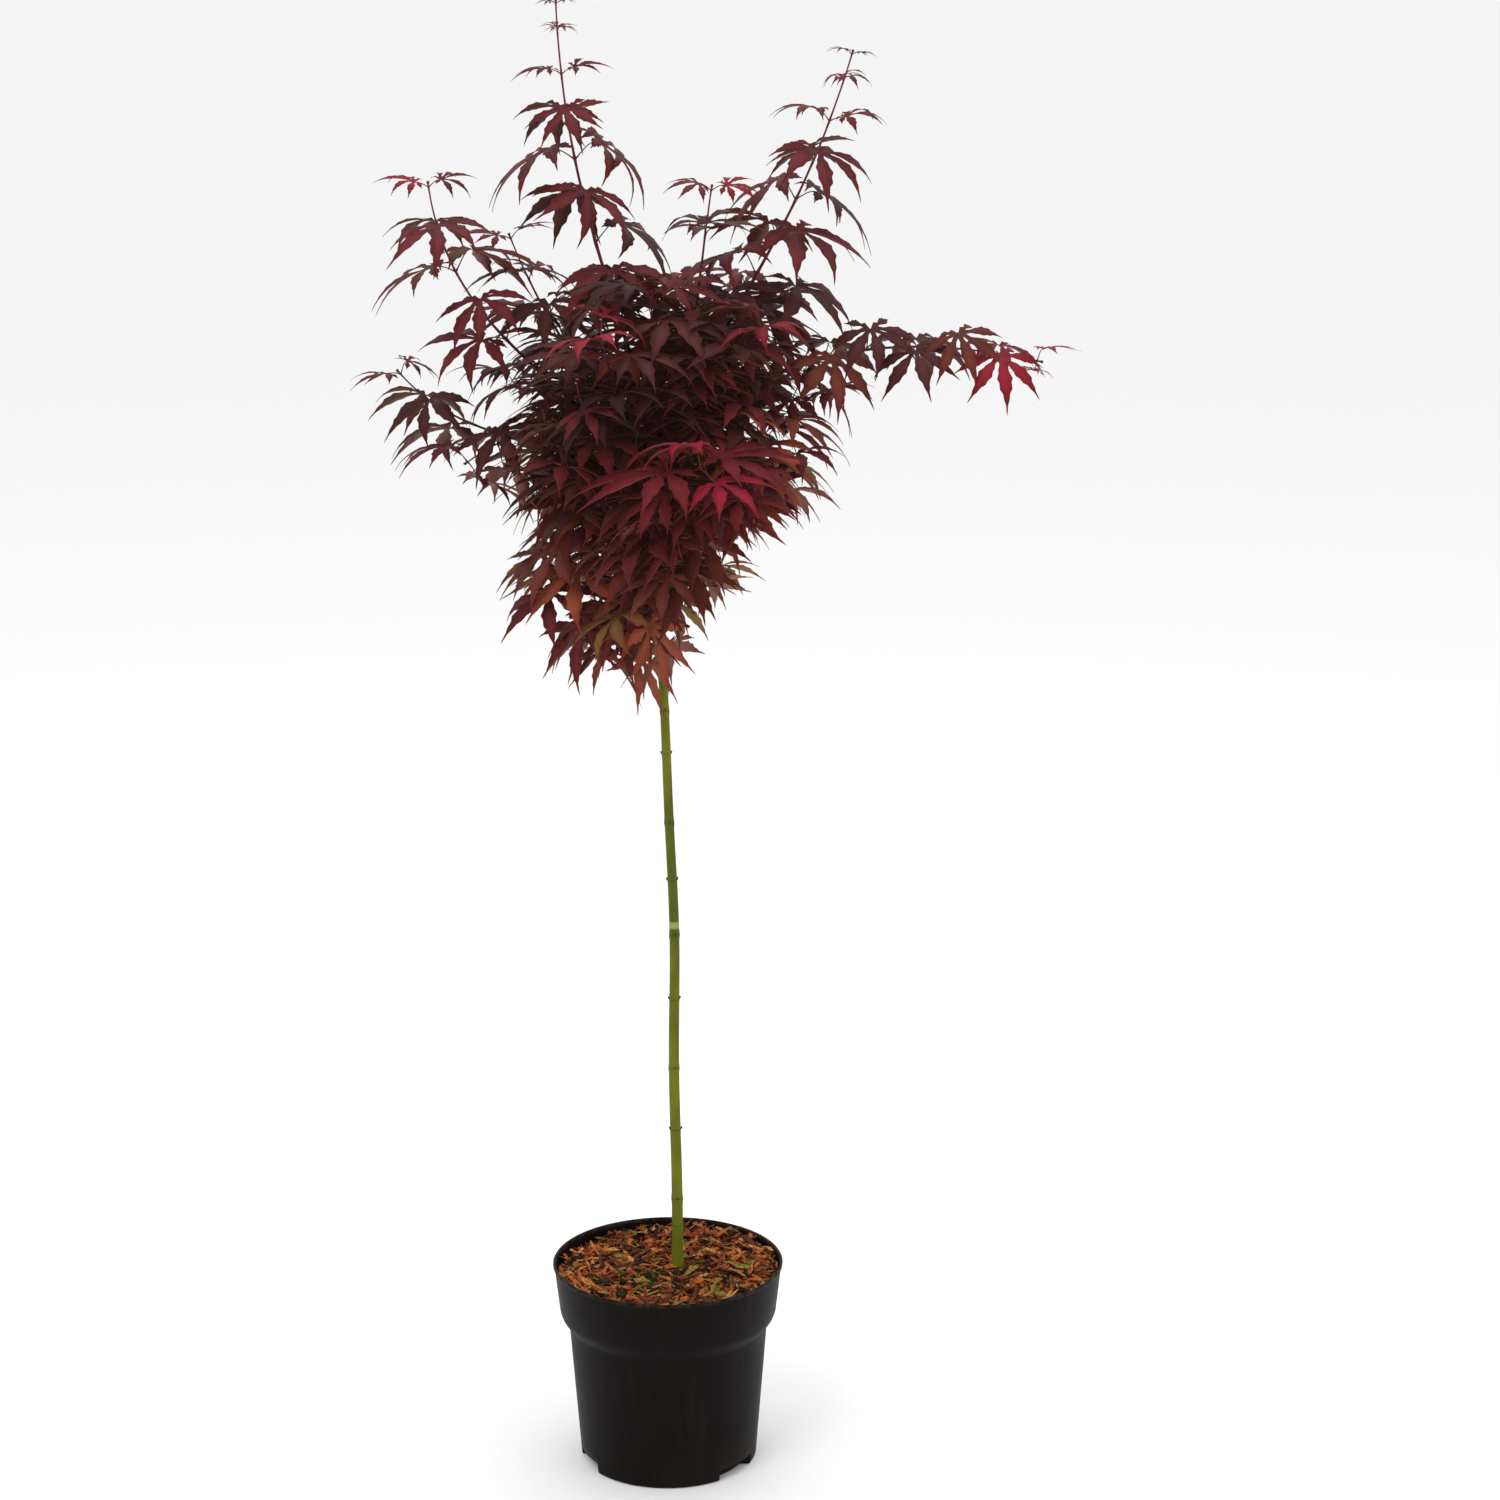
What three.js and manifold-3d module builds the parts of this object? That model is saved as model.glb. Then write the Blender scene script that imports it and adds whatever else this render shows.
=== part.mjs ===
// A Japanese maple grown as a small grafted standard: a slim green stem in a round nursery pot, with an open
// crown of purple-red leaves in opposite pairs. Millimetres, +Z up. The origin is the centre of the pot's
// flat underside, and the pot stands on the ground at z = 0.
import * as THREE from "three";
import { mergeVertices } from "three/addons/utils/BufferGeometryUtils.js";
import Module from "manifold-3d";

const wasm = await Module();
wasm.setup();

// Driving dimensions of the pot
const POT_HEIGHT = 216;
const RIM_RADIUS = 120;
const FOOT_RADIUS = 92;
const BAND_FOOT_HEIGHT = 163;
const BAND_FOOT_RADIUS = 112.9;
const SHOULDER_TURN_HEIGHT = 157;
const SHOULDER_TURN_RADIUS = 110.8;
const SHOULDER_HEIGHT = 149.5;
const SHOULDER_RADIUS = 103.8;
const RIM_BEAD_HEIGHT = 4;
const RIM_BEAD_STANDS_OUT = 1.4;
const WALL = 2;
const FOOT_CHAMFER = 2;
const POT_SIDES = 36;
const NOTCH_BEARINGS = [52, -68, 172];
const NOTCH_WIDTH = 45;
const NOTCH_HEIGHT = 11;
const NOTCH_DEPTH = 9;
const DRAIN_COUNT = 6;
const DRAIN_RADIUS = 5;
const DRAIN_CIRCLE_RADIUS = 46;

// Driving dimensions of the potting mix
const MIX_HEIGHT = 203.7;
const MIX_EDGE_DROP = 2;
const MIX_MOUND = 5;
const MIX_FLAT_RADIUS = 22;
const MIX_HIGH_SIDE = 50;
const MIX_WAVE = 0.3;
const MIX_WAVES = 5;
const MIX_MOUND_RADIUS = 72;
const CLEARANCE = 0.3;
const MIX_CLEARANCE = 0.42;

// Driving dimensions of the trunk: the green stem, the swollen graft and the crown's own stem above it
const TRUNK_FOOT = MIX_HEIGHT + CLEARANCE;
const TRUNK_TOP = 1080;
const TRUNK_COURSE = [
  [10, 0, TRUNK_FOOT],
  [10, 0, 300],
  [7.5, 2, 430],
  [8.5, 3, 570],
  [3.5, 1, 700],
  [-1, -1, 830],
  [-7, 0, 925],
  [-7, 2, TRUNK_TOP],
];
const FLARE_RADIUS = 7.6;
const FLARE_HEIGHT = 12;
const STEM_FOOT_RADIUS = 5.9;
const STEM_TOP_RADIUS = 4.3;
const GRAFT_HEIGHT = 878;
const GRAFT_RADIUS = 7.4;
const GRAFT_REACH = 26;
const CROWN_STEM_TIP_RADIUS = 3.2;
const TRUNK_SIDES = 8;
const TRUNK_STEPS = 30;
const BORE_GAP = 0.4;

// Driving dimensions of the boughs, shoots and twigs
const BOUGH_ROOT_RADIUS = 2.9;
const SHOOT_ROOT_RADIUS = 2.2;
const SHOOT_TIP_RADIUS = 1.2;
const TWIG_RADIUS = 1.3;
const BARE_SHARE_LOW = 0.29;
const BARE_SHARE_HIGH = 0.23;
const BOUGH_SIDES = 5;
const BOUGH_STEP = 36;
const SHOOT_STEP = 30;
const INTERNODE = 41;
const TWIG_LENGTH = 57;
const TWIG_FREE_LENGTH = 80;
const LENGTH_PER_TWIG = 110;
const LIMB_PULL = 0.4;
const NEARLY_UPRIGHT = 0.9;
const TWIG_LENGTH_RANGE = [0.85, 1.15];

// Driving dimensions of the leaves
const LEAF_LENGTH = 76;
const LEAF_LENGTH_RANGE = [0.88, 1.1];
const STALK_SHARE = 0.36;
const STALK_ROOT_RADIUS = 0.55;
const STALK_TIP_RADIUS = 0.5;
const STALK_OFFSET = 0.6;
const STALK_STUB = 1;
const SHARPEST_MITRE = 0.4;
const STALK_LEAN = 0.3;
const STALK_LIFT = 0.12;
const UNDERSIDE_SHARE = 0.35;
const LEAF_THICKNESS_SHARE = 0.032;
const LEAF_CURL = 24;
const LEAF_GAP = 0.4;
const LOBE_BEARINGS = [-92, -44, 0, 44, 92];
const LOBE_LENGTHS = [0.62, 0.9, 1, 0.9, 0.62];
const SINUS_SHARE = 0.29;
const HEEL_SHARE = 0.08;
const CREST_SHARE = 0.05;
const DROOP_LOW = 44;
const DROOP_HIGH = 15;
const DROOP_SPREAD = 16;
const ROLL_SPREAD = 40;
const BEARING_SPREAD = 24;
const TURNS_TRIED = [0, 22, -22, 45, -45, 68, -68, 92, -92];
const FIRST_SEED = 1404;

// How a shoot ends: the distances from its tip to its first pairs of leaves, and the scale of those pairs
const GROWTH = {
  settled: { internodes: [2, 32], scales: [0.85, 1] },
  vigorous: { internodes: [2, 34], scales: [1.12, 1.1, 1.1] },
  resting: { internodes: [3, 44], scales: [0.5, 0.88] },
  growing: { internodes: [2, 26], scales: [0.2, 0.3, 0.42, 0.64, 0.9] },
  twig: { internodes: [2], scales: [0.9] },
};

// The limbs, from the lowest up: the height on the trunk where each one forks, where the tip of its shoot is,
// how steeply it climbs at its fork and at its tip in degrees, and how it grows
const LIMBS = [
  { name: "bottom_left", fork: 880, tip: [-74, -40, 892], climb: [26, -26], growth: "settled" },
  { name: "bottom_right", fork: 884, tip: [24, -32, 900], climb: [26, -26], growth: "settled" },
  { name: "bottom_front", fork: 896, tip: [-30, -84, 904], climb: [32, -22], growth: "settled" },
  { name: "bottom_back", fork: 900, tip: [4, 92, 916], climb: [32, -18], growth: "settled" },
  { name: "lower_left", fork: 914, tip: [-112, -16, 948], climb: [40, -6], growth: "settled" },
  { name: "lower_right", fork: 920, tip: [42, -56, 974], climb: [42, 0], growth: "settled" },
  { name: "lower_front", fork: 934, tip: [20, -122, 984], climb: [44, 2], growth: "settled" },
  { name: "lower_back", fork: 938, tip: [-44, 138, 996], climb: [44, 6], growth: "settled" },
  { name: "middle_left", fork: 952, tip: [-98, 62, 1040], climb: [52, 10], growth: "settled" },
  { name: "middle_right", fork: 957, tip: [114, 62, 1030], climb: [48, 8], growth: "settled" },
  { name: "front_rosette", fork: 970, tip: [40, -176, 1080], climb: [50, 14], growth: "vigorous" },
  { name: "middle_back", fork: 974, tip: [54, 168, 1094], climb: [50, 20], growth: "settled" },
  { name: "front_middle", fork: 988, tip: [-92, -104, 1084], climb: [52, 14], growth: "settled" },
  { name: "right_middle", fork: 993, tip: [128, -62, 1088], climb: [52, 10], growth: "settled" },
  { name: "low_left", fork: 1002, tip: [-257, -14, 1149], climb: [54, 50], growth: "resting" },
  { name: "back_right", fork: 1008, tip: [84, 138, 1210], climb: [60, 54], growth: "settled" },
  { name: "front_left", fork: 1016, tip: [-54, -142, 1198], climb: [56, 56], growth: "settled" },
  { name: "back_left", fork: 1020, tip: [-108, 156, 1150], climb: [54, 34], growth: "settled" },
  { name: "high_left", fork: 1030, tip: [-222, -36, 1332], climb: [46, 84], growth: "resting" },
  { name: "long_right", fork: 1033, tip: [368, -20, 1160], climb: [60, -12], growth: "resting" },
  { name: "crown_front", fork: 1038, tip: [-8, -74, 1232], climb: [60, 76], growth: "settled" },
  { name: "inner_left", fork: 1044, tip: [-152, 66, 1273], climb: [54, 66], growth: "resting" },
  { name: "right_high", fork: 1048, tip: [98, -84, 1200], climb: [56, 42], growth: "settled" },
  { name: "right_leader", fork: 1058, tip: [185, 40, 1452], climb: [64, 73], growth: "growing" },
  { name: "middle_leader", fork: 1069, tip: [49, -26, 1328], climb: [63, 80], growth: "resting" },
  { name: "left_leader", fork: 1080, tip: [-101, 24, 1501], climb: [74, 88], growth: "growing" },
];

// How far the crown reaches to the left and right at some heights, as [height, left, right]
const CROWN_LIMITS = [
  [820, -92, 26],
  [870, -138, 44],
  [908, -160, 56],
  [972, -166, 112],
  [1026, -170, 186],
  [1060, -284, 205],
  [1110, -300, 400],
];

const LOWEST_FORK = LIMBS[0].fork;
const HIGHEST_FORK = LIMBS.at(-1).fork;

// Colours of the parts
const POT_COLOUR = 0x1b1918;
const MIX_COLOUR = 0x8a5a36;
const STEM_COLOUR = 0x5f7a1c;
const BARK_COLOUR = 0x3a2422;
const LEAF_COLOURS = [0x4a1f26, 0x5e2428, 0x6e2a22];

const UP = new THREE.Vector3(0, 0, 1);
const TINY = 0.02;

// A repeatable stream of numbers from 0 to 1
function randomStream(seed) {
  let state = seed;
  return () => {
    state = (state * 1664525 + 1013904223) % 4294967296;
    return state / 4294967296;
  };
}

function radians(degrees) {
  return (degrees * Math.PI) / 180;
}

// A closed three.js geometry as a solid that booleans work on
function solidOf(geometry) {
  const bare = geometry.clone();
  bare.deleteAttribute("normal");
  bare.deleteAttribute("uv");
  const merged = mergeVertices(bare, 1e-3);
  return new wasm.Manifold(
    new wasm.Mesh({
      numProp: 3,
      vertProperties: merged.attributes.position.array,
      triVerts: new Uint32Array(merged.index.array),
    }),
  );
}

function geometryOf(solid) {
  const mesh = solid.getMesh();
  const positions = new Float32Array(mesh.numVert * 3);
  for (let i = 0; i < mesh.numVert; i++) {
    positions.set(mesh.vertProperties.subarray(i * mesh.numProp, i * mesh.numProp + 3), i * 3);
  }
  const geometry = new THREE.BufferGeometry();
  geometry.setAttribute("position", new THREE.BufferAttribute(positions, 3));
  geometry.setIndex(new THREE.BufferAttribute(mesh.triVerts, 1));
  geometry.computeVertexNormals();
  return geometry;
}

// The largest of a solid's separate bodies
function largestBody(solid) {
  const bodies = solid.decompose();
  return bodies.reduce((best, body) => (body.volume() > best.volume() ? body : best));
}

function meshOf(name, geometry, colour, roughness) {
  const look = { color: colour, roughness, metalness: 0, flatShading: true };
  const mesh = new THREE.Mesh(geometry, new THREE.MeshStandardMaterial(look));
  mesh.name = name;
  return mesh;
}

// A solid of revolution about +Z, from a profile of [radius, height] points
function turned(profile, sides) {
  const points = profile.map(([radius, height]) => new THREE.Vector2(radius, height));
  const geometry = new THREE.LatheGeometry(points, sides);
  geometry.rotateX(Math.PI / 2);
  return geometry;
}

// A tapering round limb: a cylinder bent along a path, whose radius is a function of its share of the length
function taperedTube(path, radiusAt, sides, steps) {
  const geometry = new THREE.CylinderGeometry(1, 1, 1, sides, steps);
  const centres = [];
  const frames = [];
  let side = null;
  for (let i = 0; i <= steps; i++) {
    const tangent = path.getTangentAt(i / steps).normalize();
    if (side === null) {
      const reference = Math.abs(tangent.z) > NEARLY_UPRIGHT ? new THREE.Vector3(1, 0, 0) : UP;
      side = new THREE.Vector3().crossVectors(reference, tangent);
    }
    side = side.clone().addScaledVector(tangent, -side.dot(tangent)).normalize();
    centres.push(path.getPointAt(i / steps));
    frames.push([side, new THREE.Vector3().crossVectors(side, tangent)]);
  }
  const position = geometry.attributes.position;
  for (let i = 0; i < position.count; i++) {
    const step = Math.round((position.getY(i) + 0.5) * steps);
    const radius = radiusAt(step / steps);
    const point = centres[step]
      .clone()
      .addScaledVector(frames[step][0], position.getX(i) * radius)
      .addScaledVector(frames[step][1], position.getZ(i) * radius);
    position.setXYZ(i, point.x, point.y, point.z);
  }
  return geometry;
}

// The pot: a thin tapered wall with a deep band under its rim, drain holes, and notches round its foot
function potWallRadius(height) {
  const { mapLinear } = THREE.MathUtils;
  if (height <= SHOULDER_HEIGHT) return mapLinear(height, 0, SHOULDER_HEIGHT, FOOT_RADIUS, SHOULDER_RADIUS);
  return mapLinear(height, BAND_FOOT_HEIGHT, POT_HEIGHT, BAND_FOOT_RADIUS, RIM_RADIUS - RIM_BEAD_STANDS_OUT);
}

function notchBox(extra) {
  const width = NOTCH_WIDTH + 2 * extra;
  const height = NOTCH_HEIGHT + extra + 1;
  const depth = NOTCH_DEPTH + extra + FOOT_RADIUS;
  const box = new THREE.BoxGeometry(width, depth, height);
  box.translate(0, -(FOOT_RADIUS - NOTCH_DEPTH - extra + depth / 2), height / 2 - 1);
  return box;
}

function notches(extra) {
  return NOTCH_BEARINGS.map((bearing) => solidOf(notchBox(extra).rotateZ(radians(bearing))));
}

function drainHoles() {
  return Array.from({ length: DRAIN_COUNT }, (_, i) => {
    const angle = (2 * Math.PI * i) / DRAIN_COUNT;
    const hole = new THREE.CylinderGeometry(DRAIN_RADIUS, DRAIN_RADIUS, 6 * WALL, 10).rotateX(Math.PI / 2);
    hole.translate(DRAIN_CIRCLE_RADIUS * Math.cos(angle), DRAIN_CIRCLE_RADIUS * Math.sin(angle), 0);
    return solidOf(hole);
  });
}

function makePot() {
  const beadFoot = POT_HEIGHT - RIM_BEAD_HEIGHT;
  const outer = solidOf(
    turned(
      [
        [0, 0],
        [FOOT_RADIUS - FOOT_CHAMFER, 0],
        [potWallRadius(FOOT_CHAMFER), FOOT_CHAMFER],
        [SHOULDER_RADIUS, SHOULDER_HEIGHT],
        [SHOULDER_TURN_RADIUS, SHOULDER_TURN_HEIGHT],
        [BAND_FOOT_RADIUS, BAND_FOOT_HEIGHT],
        [potWallRadius(beadFoot), beadFoot],
        [RIM_RADIUS, beadFoot + 1],
        [RIM_RADIUS, POT_HEIGHT - 1],
        [RIM_RADIUS - 1, POT_HEIGHT],
        [0, POT_HEIGHT],
      ],
      POT_SIDES,
    ),
  );
  const inside = solidOf(turned(innerProfile(0, POT_HEIGHT + 1), POT_SIDES));
  const hollow = wasm.Manifold.difference([inside, ...notches(WALL)]);
  const shell = wasm.Manifold.difference([outer, hollow, ...notches(0), ...drainHoles()]);
  return meshOf("pot", geometryOf(largestBody(shell)), POT_COLOUR, 0.55);
}

// The profile of the space inside the pot, drawn in by a clearance and filled to a height
function innerProfile(clearance, fill) {
  const inset = WALL + clearance;
  const top = Math.min(fill, POT_HEIGHT);
  return [
    [0, inset],
    [potWallRadius(inset) - inset, inset],
    [SHOULDER_RADIUS - inset, SHOULDER_HEIGHT],
    [SHOULDER_TURN_RADIUS - inset, SHOULDER_TURN_HEIGHT],
    [BAND_FOOT_RADIUS - inset, BAND_FOOT_HEIGHT],
    [potWallRadius(top) - inset, top],
    ...(fill > POT_HEIGHT ? [[potWallRadius(top) - inset, fill]] : []),
    [0, fill],
  ];
}

// The potting mix: it fills the pot to just under the rim, mounded unevenly, with a flat patch at the stem
function makePottingMix() {
  const edge = MIX_HEIGHT - MIX_EDGE_DROP;
  const mound = [[MIX_MOUND_RADIUS, edge], [MIX_FLAT_RADIUS, MIX_HEIGHT], [0, MIX_HEIGHT]];
  const geometry = turned([...innerProfile(MIX_CLEARANCE, edge).slice(0, -1), ...mound], POT_SIDES);
  const position = geometry.attributes.position;
  for (let i = 0; i < position.count; i++) {
    const x = position.getX(i);
    const y = position.getY(i);
    const radius = Math.hypot(x, y);
    if (position.getZ(i) > edge - 1 && radius > MIX_FLAT_RADIUS + 1) {
      const bearing = Math.atan2(y, x);
      const wave = MIX_WAVE * (1 + Math.sin(MIX_WAVES * bearing));
      const rise = Math.max(0, Math.cos(bearing - radians(MIX_HIGH_SIDE))) + wave;
      position.setZ(i, edge + MIX_MOUND * rise);
    }
  }
  const mix = wasm.Manifold.difference([solidOf(geometry), ...notches(WALL + MIX_CLEARANCE)]);
  return meshOf("potting_mix", geometryOf(largestBody(mix)), MIX_COLOUR, 1);
}

// The trunk: one tapering stem from a flat cut at the potting mix, with a root flare and a swollen graft
const trunkPath = new THREE.CatmullRomCurve3(TRUNK_COURSE.map((point) => new THREE.Vector3(...point)));

function trunkRadius(share) {
  const { z } = trunkPath.getPointAt(share);
  const flare = (FLARE_RADIUS - STEM_FOOT_RADIUS) * Math.exp((TRUNK_FOOT - z) / FLARE_HEIGHT);
  const graft = (GRAFT_RADIUS - STEM_TOP_RADIUS) * Math.exp(-(((z - GRAFT_HEIGHT) / GRAFT_REACH) ** 2));
  const taper =
    z < GRAFT_HEIGHT
      ? THREE.MathUtils.mapLinear(z, TRUNK_FOOT, GRAFT_HEIGHT, STEM_FOOT_RADIUS, STEM_TOP_RADIUS)
      : THREE.MathUtils.mapLinear(z, GRAFT_HEIGHT, TRUNK_TOP, STEM_TOP_RADIUS, CROWN_STEM_TIP_RADIUS);
  return taper + flare + graft;
}

function trunkSolid(extra) {
  return solidOf(taperedTube(trunkPath, (share) => trunkRadius(share) + extra, TRUNK_SIDES, TRUNK_STEPS));
}

// The trunk grown by a clearance all over, which cuts the foot of each bough
function trunkBore() {
  const radius = CROWN_STEM_TIP_RADIUS + BORE_GAP;
  const cap = new THREE.CylinderGeometry(radius, radius, 2 * BORE_GAP, TRUNK_SIDES);
  cap.rotateX(Math.PI / 2).translate(...TRUNK_COURSE.at(-1));
  return trunkSolid(BORE_GAP).add(solidOf(cap));
}

function pointOnTrunk(height) {
  return trunkPath.getPointAt(THREE.MathUtils.inverseLerp(TRUNK_FOOT, TRUNK_TOP, height));
}

// A value that changes from the lowest limb to the highest
function byStorey(limb, low, high) {
  return THREE.MathUtils.mapLinear(limb.fork, LOWEST_FORK, HIGHEST_FORK, low, high);
}

// The path of a limb: a cubic curve from the trunk's axis to its tip, with its own climb at each end
function limbPath(limb) {
  const root = pointOnTrunk(limb.fork);
  const tip = new THREE.Vector3(...limb.tip);
  const across = new THREE.Vector3(tip.x - root.x, tip.y - root.y, 0).normalize();
  const [leaving, arriving] = limb.climb.map((climb) =>
    across.clone().multiplyScalar(Math.cos(radians(climb))).addScaledVector(UP, Math.sin(radians(climb))),
  );
  const pull = LIMB_PULL * root.distanceTo(tip);
  const afterRoot = root.clone().addScaledVector(leaving, pull);
  const beforeTip = tip.clone().addScaledVector(arriving, -pull);
  return new THREE.CubicBezierCurve3(root, afterRoot, beforeTip, tip);
}

// A stretch of a path, from one share of its length to another, as a path of its own
class Stretch extends THREE.Curve {
  constructor(path, from, to) {
    super();
    Object.assign(this, { path, from, to });
  }

  getPoint(share, target = new THREE.Vector3()) {
    return target.copy(this.path.getPointAt(THREE.MathUtils.lerp(this.from, this.to, share)));
  }
}

function makeBough(limb, path, bore) {
  const bare = byStorey(limb, BARE_SHARE_LOW, BARE_SHARE_HIGH);
  const radiusAt = (share) => THREE.MathUtils.lerp(BOUGH_ROOT_RADIUS, SHOOT_ROOT_RADIUS, share);
  const steps = Math.max(2, Math.ceil((bare * path.getLength()) / BOUGH_STEP));
  const whole = solidOf(taperedTube(new Stretch(path, 0, bare), radiusAt, BOUGH_SIDES, steps));
  return largestBody(whole.subtract(bore)).simplify(TINY);
}

// The rim of a blade as [bearing, share of the leaf's length, curl]: the lobes' tips and the notches between
const BLADE_RIM = Array.from({ length: 2 * LOBE_BEARINGS.length - 1 }, (_, i) => {
  const lobe = Math.floor(i / 2);
  if (i % 2 === 0) return [LOBE_BEARINGS[lobe], LOBE_LENGTHS[lobe], LEAF_CURL];
  return [(LOBE_BEARINGS[lobe] + LOBE_BEARINGS[lobe + 1]) / 2, SINUS_SHARE, LEAF_CURL / 3];
});

// One leaf with its stalk, as a closed solid. Two fans of faces join the blade's rim to a crest above it and
// another below it, and a three-sided stalk runs from the blade's heel back to the leaf's root.
function leafSolid({ root, heel, side, forward, normal }, length) {
  const stalkWay = heel.clone().sub(root).normalize();
  const stalkUnder = new THREE.Vector3().crossVectors(stalkWay, side);
  const opening = Math.max(SHARPEST_MITRE, 1 - stalkUnder.dot(normal));
  const mitre = stalkUnder.clone().sub(normal).divideScalar(opening);
  const across = new THREE.Vector3().crossVectors(normal, forward);
  const centre = heel.clone().addScaledVector(forward, HEEL_SHARE * length);
  const bladePoint = ([bearing, share, curl]) => {
    const level = share * length * Math.cos(radians(curl));
    return centre
      .clone()
      .addScaledVector(forward, level * Math.cos(radians(bearing)))
      .addScaledVector(across, level * Math.sin(radians(bearing)))
      .addScaledVector(normal, -share * length * Math.sin(radians(curl)));
  };
  const section = (point, radius, under) => [
    point.clone().addScaledVector(side, -radius),
    point.clone().addScaledVector(side, radius),
    point.clone().addScaledVector(under, radius),
  ];
  const [heelLeft, heelRight, heelUnder] = section(heel, STALK_TIP_RADIUS, mitre);
  const rim = [heelRight, ...BLADE_RIM.map(bladePoint), heelLeft];
  const crest = centre.clone().addScaledVector(forward, CREST_SHARE * length);
  const thickness = LEAF_THICKNESS_SHARE * length;
  const points = [
    ...rim,
    heelUnder,
    ...section(root, STALK_ROOT_RADIUS, stalkUnder),
    crest.clone().addScaledVector(normal, thickness / 2),
    crest.clone().addScaledVector(normal, -thickness / 2),
  ];
  const under = rim.length;
  const [above, below] = [under + 4, under + 5];
  const faces = [];
  for (let i = 0; i < rim.length; i++) faces.push([above, i, (i + 1) % rim.length]);
  for (let i = 0; i < rim.length; i++) faces.push([below, i + 1, i]);
  faces.push([below, 0, under]);
  const heelRing = [rim.length - 1, 0, under];
  for (let k = 0; k < 3; k++) {
    const next = (k + 1) % 3;
    const [from, to] = [under + 1 + k, under + 1 + next];
    faces.push([from, to, heelRing[next]], [from, heelRing[next], heelRing[k]]);
  }
  faces.push([under + 1, under + 3, under + 2]);
  const geometry = new THREE.BufferGeometry().setFromPoints(points);
  geometry.setIndex(faces.flat());
  return solidOf(geometry);
}

function straightTwig(from, to) {
  const radiusAt = (share) => THREE.MathUtils.lerp(TWIG_RADIUS, SHOOT_TIP_RADIUS, share);
  return solidOf(taperedTube(new THREE.LineCurve3(from, to), radiusAt, 3, 1));
}

// Whether a solid comes nearer than a gap to any of the others
function touches(solid, others, gap) {
  const { min, max } = solid.boundingBox();
  return others.some((other) => {
    const box = other.boundingBox();
    const apart = [0, 1, 2].some((k) => box.min[k] > max[k] + gap || box.max[k] < min[k] - gap);
    return !apart && solid.minGap(other, 2 * gap) < gap;
  });
}

// The way a stalk or twig leaves its shoot: outward at a bearing, leaning to the shoot's tip and lifted, so
// that those on a shoot's underside turn up beside it
function stalkDirection({ along, sideways }, bearing) {
  const outward = sideways.clone().applyAxisAngle(along, radians(bearing));
  if (outward.z < 0) outward.z *= UNDERSIDE_SHARE;
  return outward.normalize().addScaledVector(along, STALK_LEAN).addScaledVector(UP, STALK_LIFT).normalize();
}

// Whether a leaf whose heel is at a point and that points a way stays within the crown's limits
function staysInside(heel, forward, length) {
  const tip = heel.clone().addScaledVector(forward, length);
  const above = CROWN_LIMITS.findIndex(([height]) => height > tip.z);
  if (above === -1) return true;
  const [low, high] = [CROWN_LIMITS[Math.max(above - 1, 0)], CROWN_LIMITS[above]];
  const share = THREE.MathUtils.clamp((tip.z - low[0]) / Math.max(high[0] - low[0], 1), 0, 1);
  const [left, right] = [1, 2].map((k) => THREE.MathUtils.lerp(low[k], high[k], share));
  return tip.x > left && tip.x < right;
}

// A leaf turns about its shoot until it is clear of everything round it and inside the crown's limits, or
// else isn't made
function growLeaf(place, bearing, length, limb, random, surroundings) {
  const dip = radians(byStorey(limb, DROOP_LOW, DROOP_HIGH) + DROOP_SPREAD * (random() - 0.5));
  const roll = radians(ROLL_SPREAD * (random() - 0.5));
  for (const turn of TURNS_TRIED) {
    const stalkWay = stalkDirection(place, bearing + turn);
    const heel = place.node.clone().addScaledVector(stalkWay, STALK_SHARE * length + SHOOT_ROOT_RADIUS);
    const level = stalkWay.clone().setZ(0).normalize();
    const side = new THREE.Vector3().crossVectors(level, UP);
    const forward = level.clone().multiplyScalar(Math.cos(dip)).addScaledVector(UP, -Math.sin(dip));
    const normal = level.clone().multiplyScalar(Math.sin(dip)).addScaledVector(UP, Math.cos(dip));
    normal.applyAxisAngle(forward, roll);
    if (!staysInside(heel, forward, length)) continue;
    const frame = { heel, side, forward, normal };
    const blade = leafSolid({ root: heel.clone().addScaledVector(stalkWay, -STALK_STUB), ...frame }, length);
    if (touches(blade, [...surroundings.blades, ...surroundings.others], LEAF_GAP)) continue;
    const root = place.node.clone().addScaledVector(stalkWay, STALK_OFFSET);
    const leaf = leafSolid({ root, ...frame }, length);
    if (touches(leaf, surroundings.others, LEAF_GAP)) continue;
    surroundings.blades.push(blade);
    surroundings.grown.push(leaf);
    return;
  }
}

// A short side twig with a pair of leaves at its end, which turns away from whatever is in its way
function growTwig(place, bearing, limb, random, surroundings) {
  const length = TWIG_LENGTH * THREE.MathUtils.lerp(...TWIG_LENGTH_RANGE, random());
  for (const turn of TURNS_TRIED) {
    const end = place.node.clone().addScaledVector(stalkDirection(place, bearing + turn), length);
    const twig = straightTwig(place.node, end);
    if (touches(twig, [...surroundings.blades, ...surroundings.others], LEAF_GAP)) continue;
    surroundings.grown.push(twig);
    growShoot(new THREE.LineCurve3(place.node, end), GROWTH.twig, 0, limb, random, surroundings);
    return;
  }
}

// How far back from a shoot's tip its pairs of leaves stand
function nodeDistances(length, { internodes }) {
  const distances = [];
  for (let distance = internodes[0]; distance < length - INTERNODE / 4; ) {
    distances.push(distance);
    distance += internodes[distances.length] ?? INTERNODE;
  }
  return distances;
}

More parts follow.
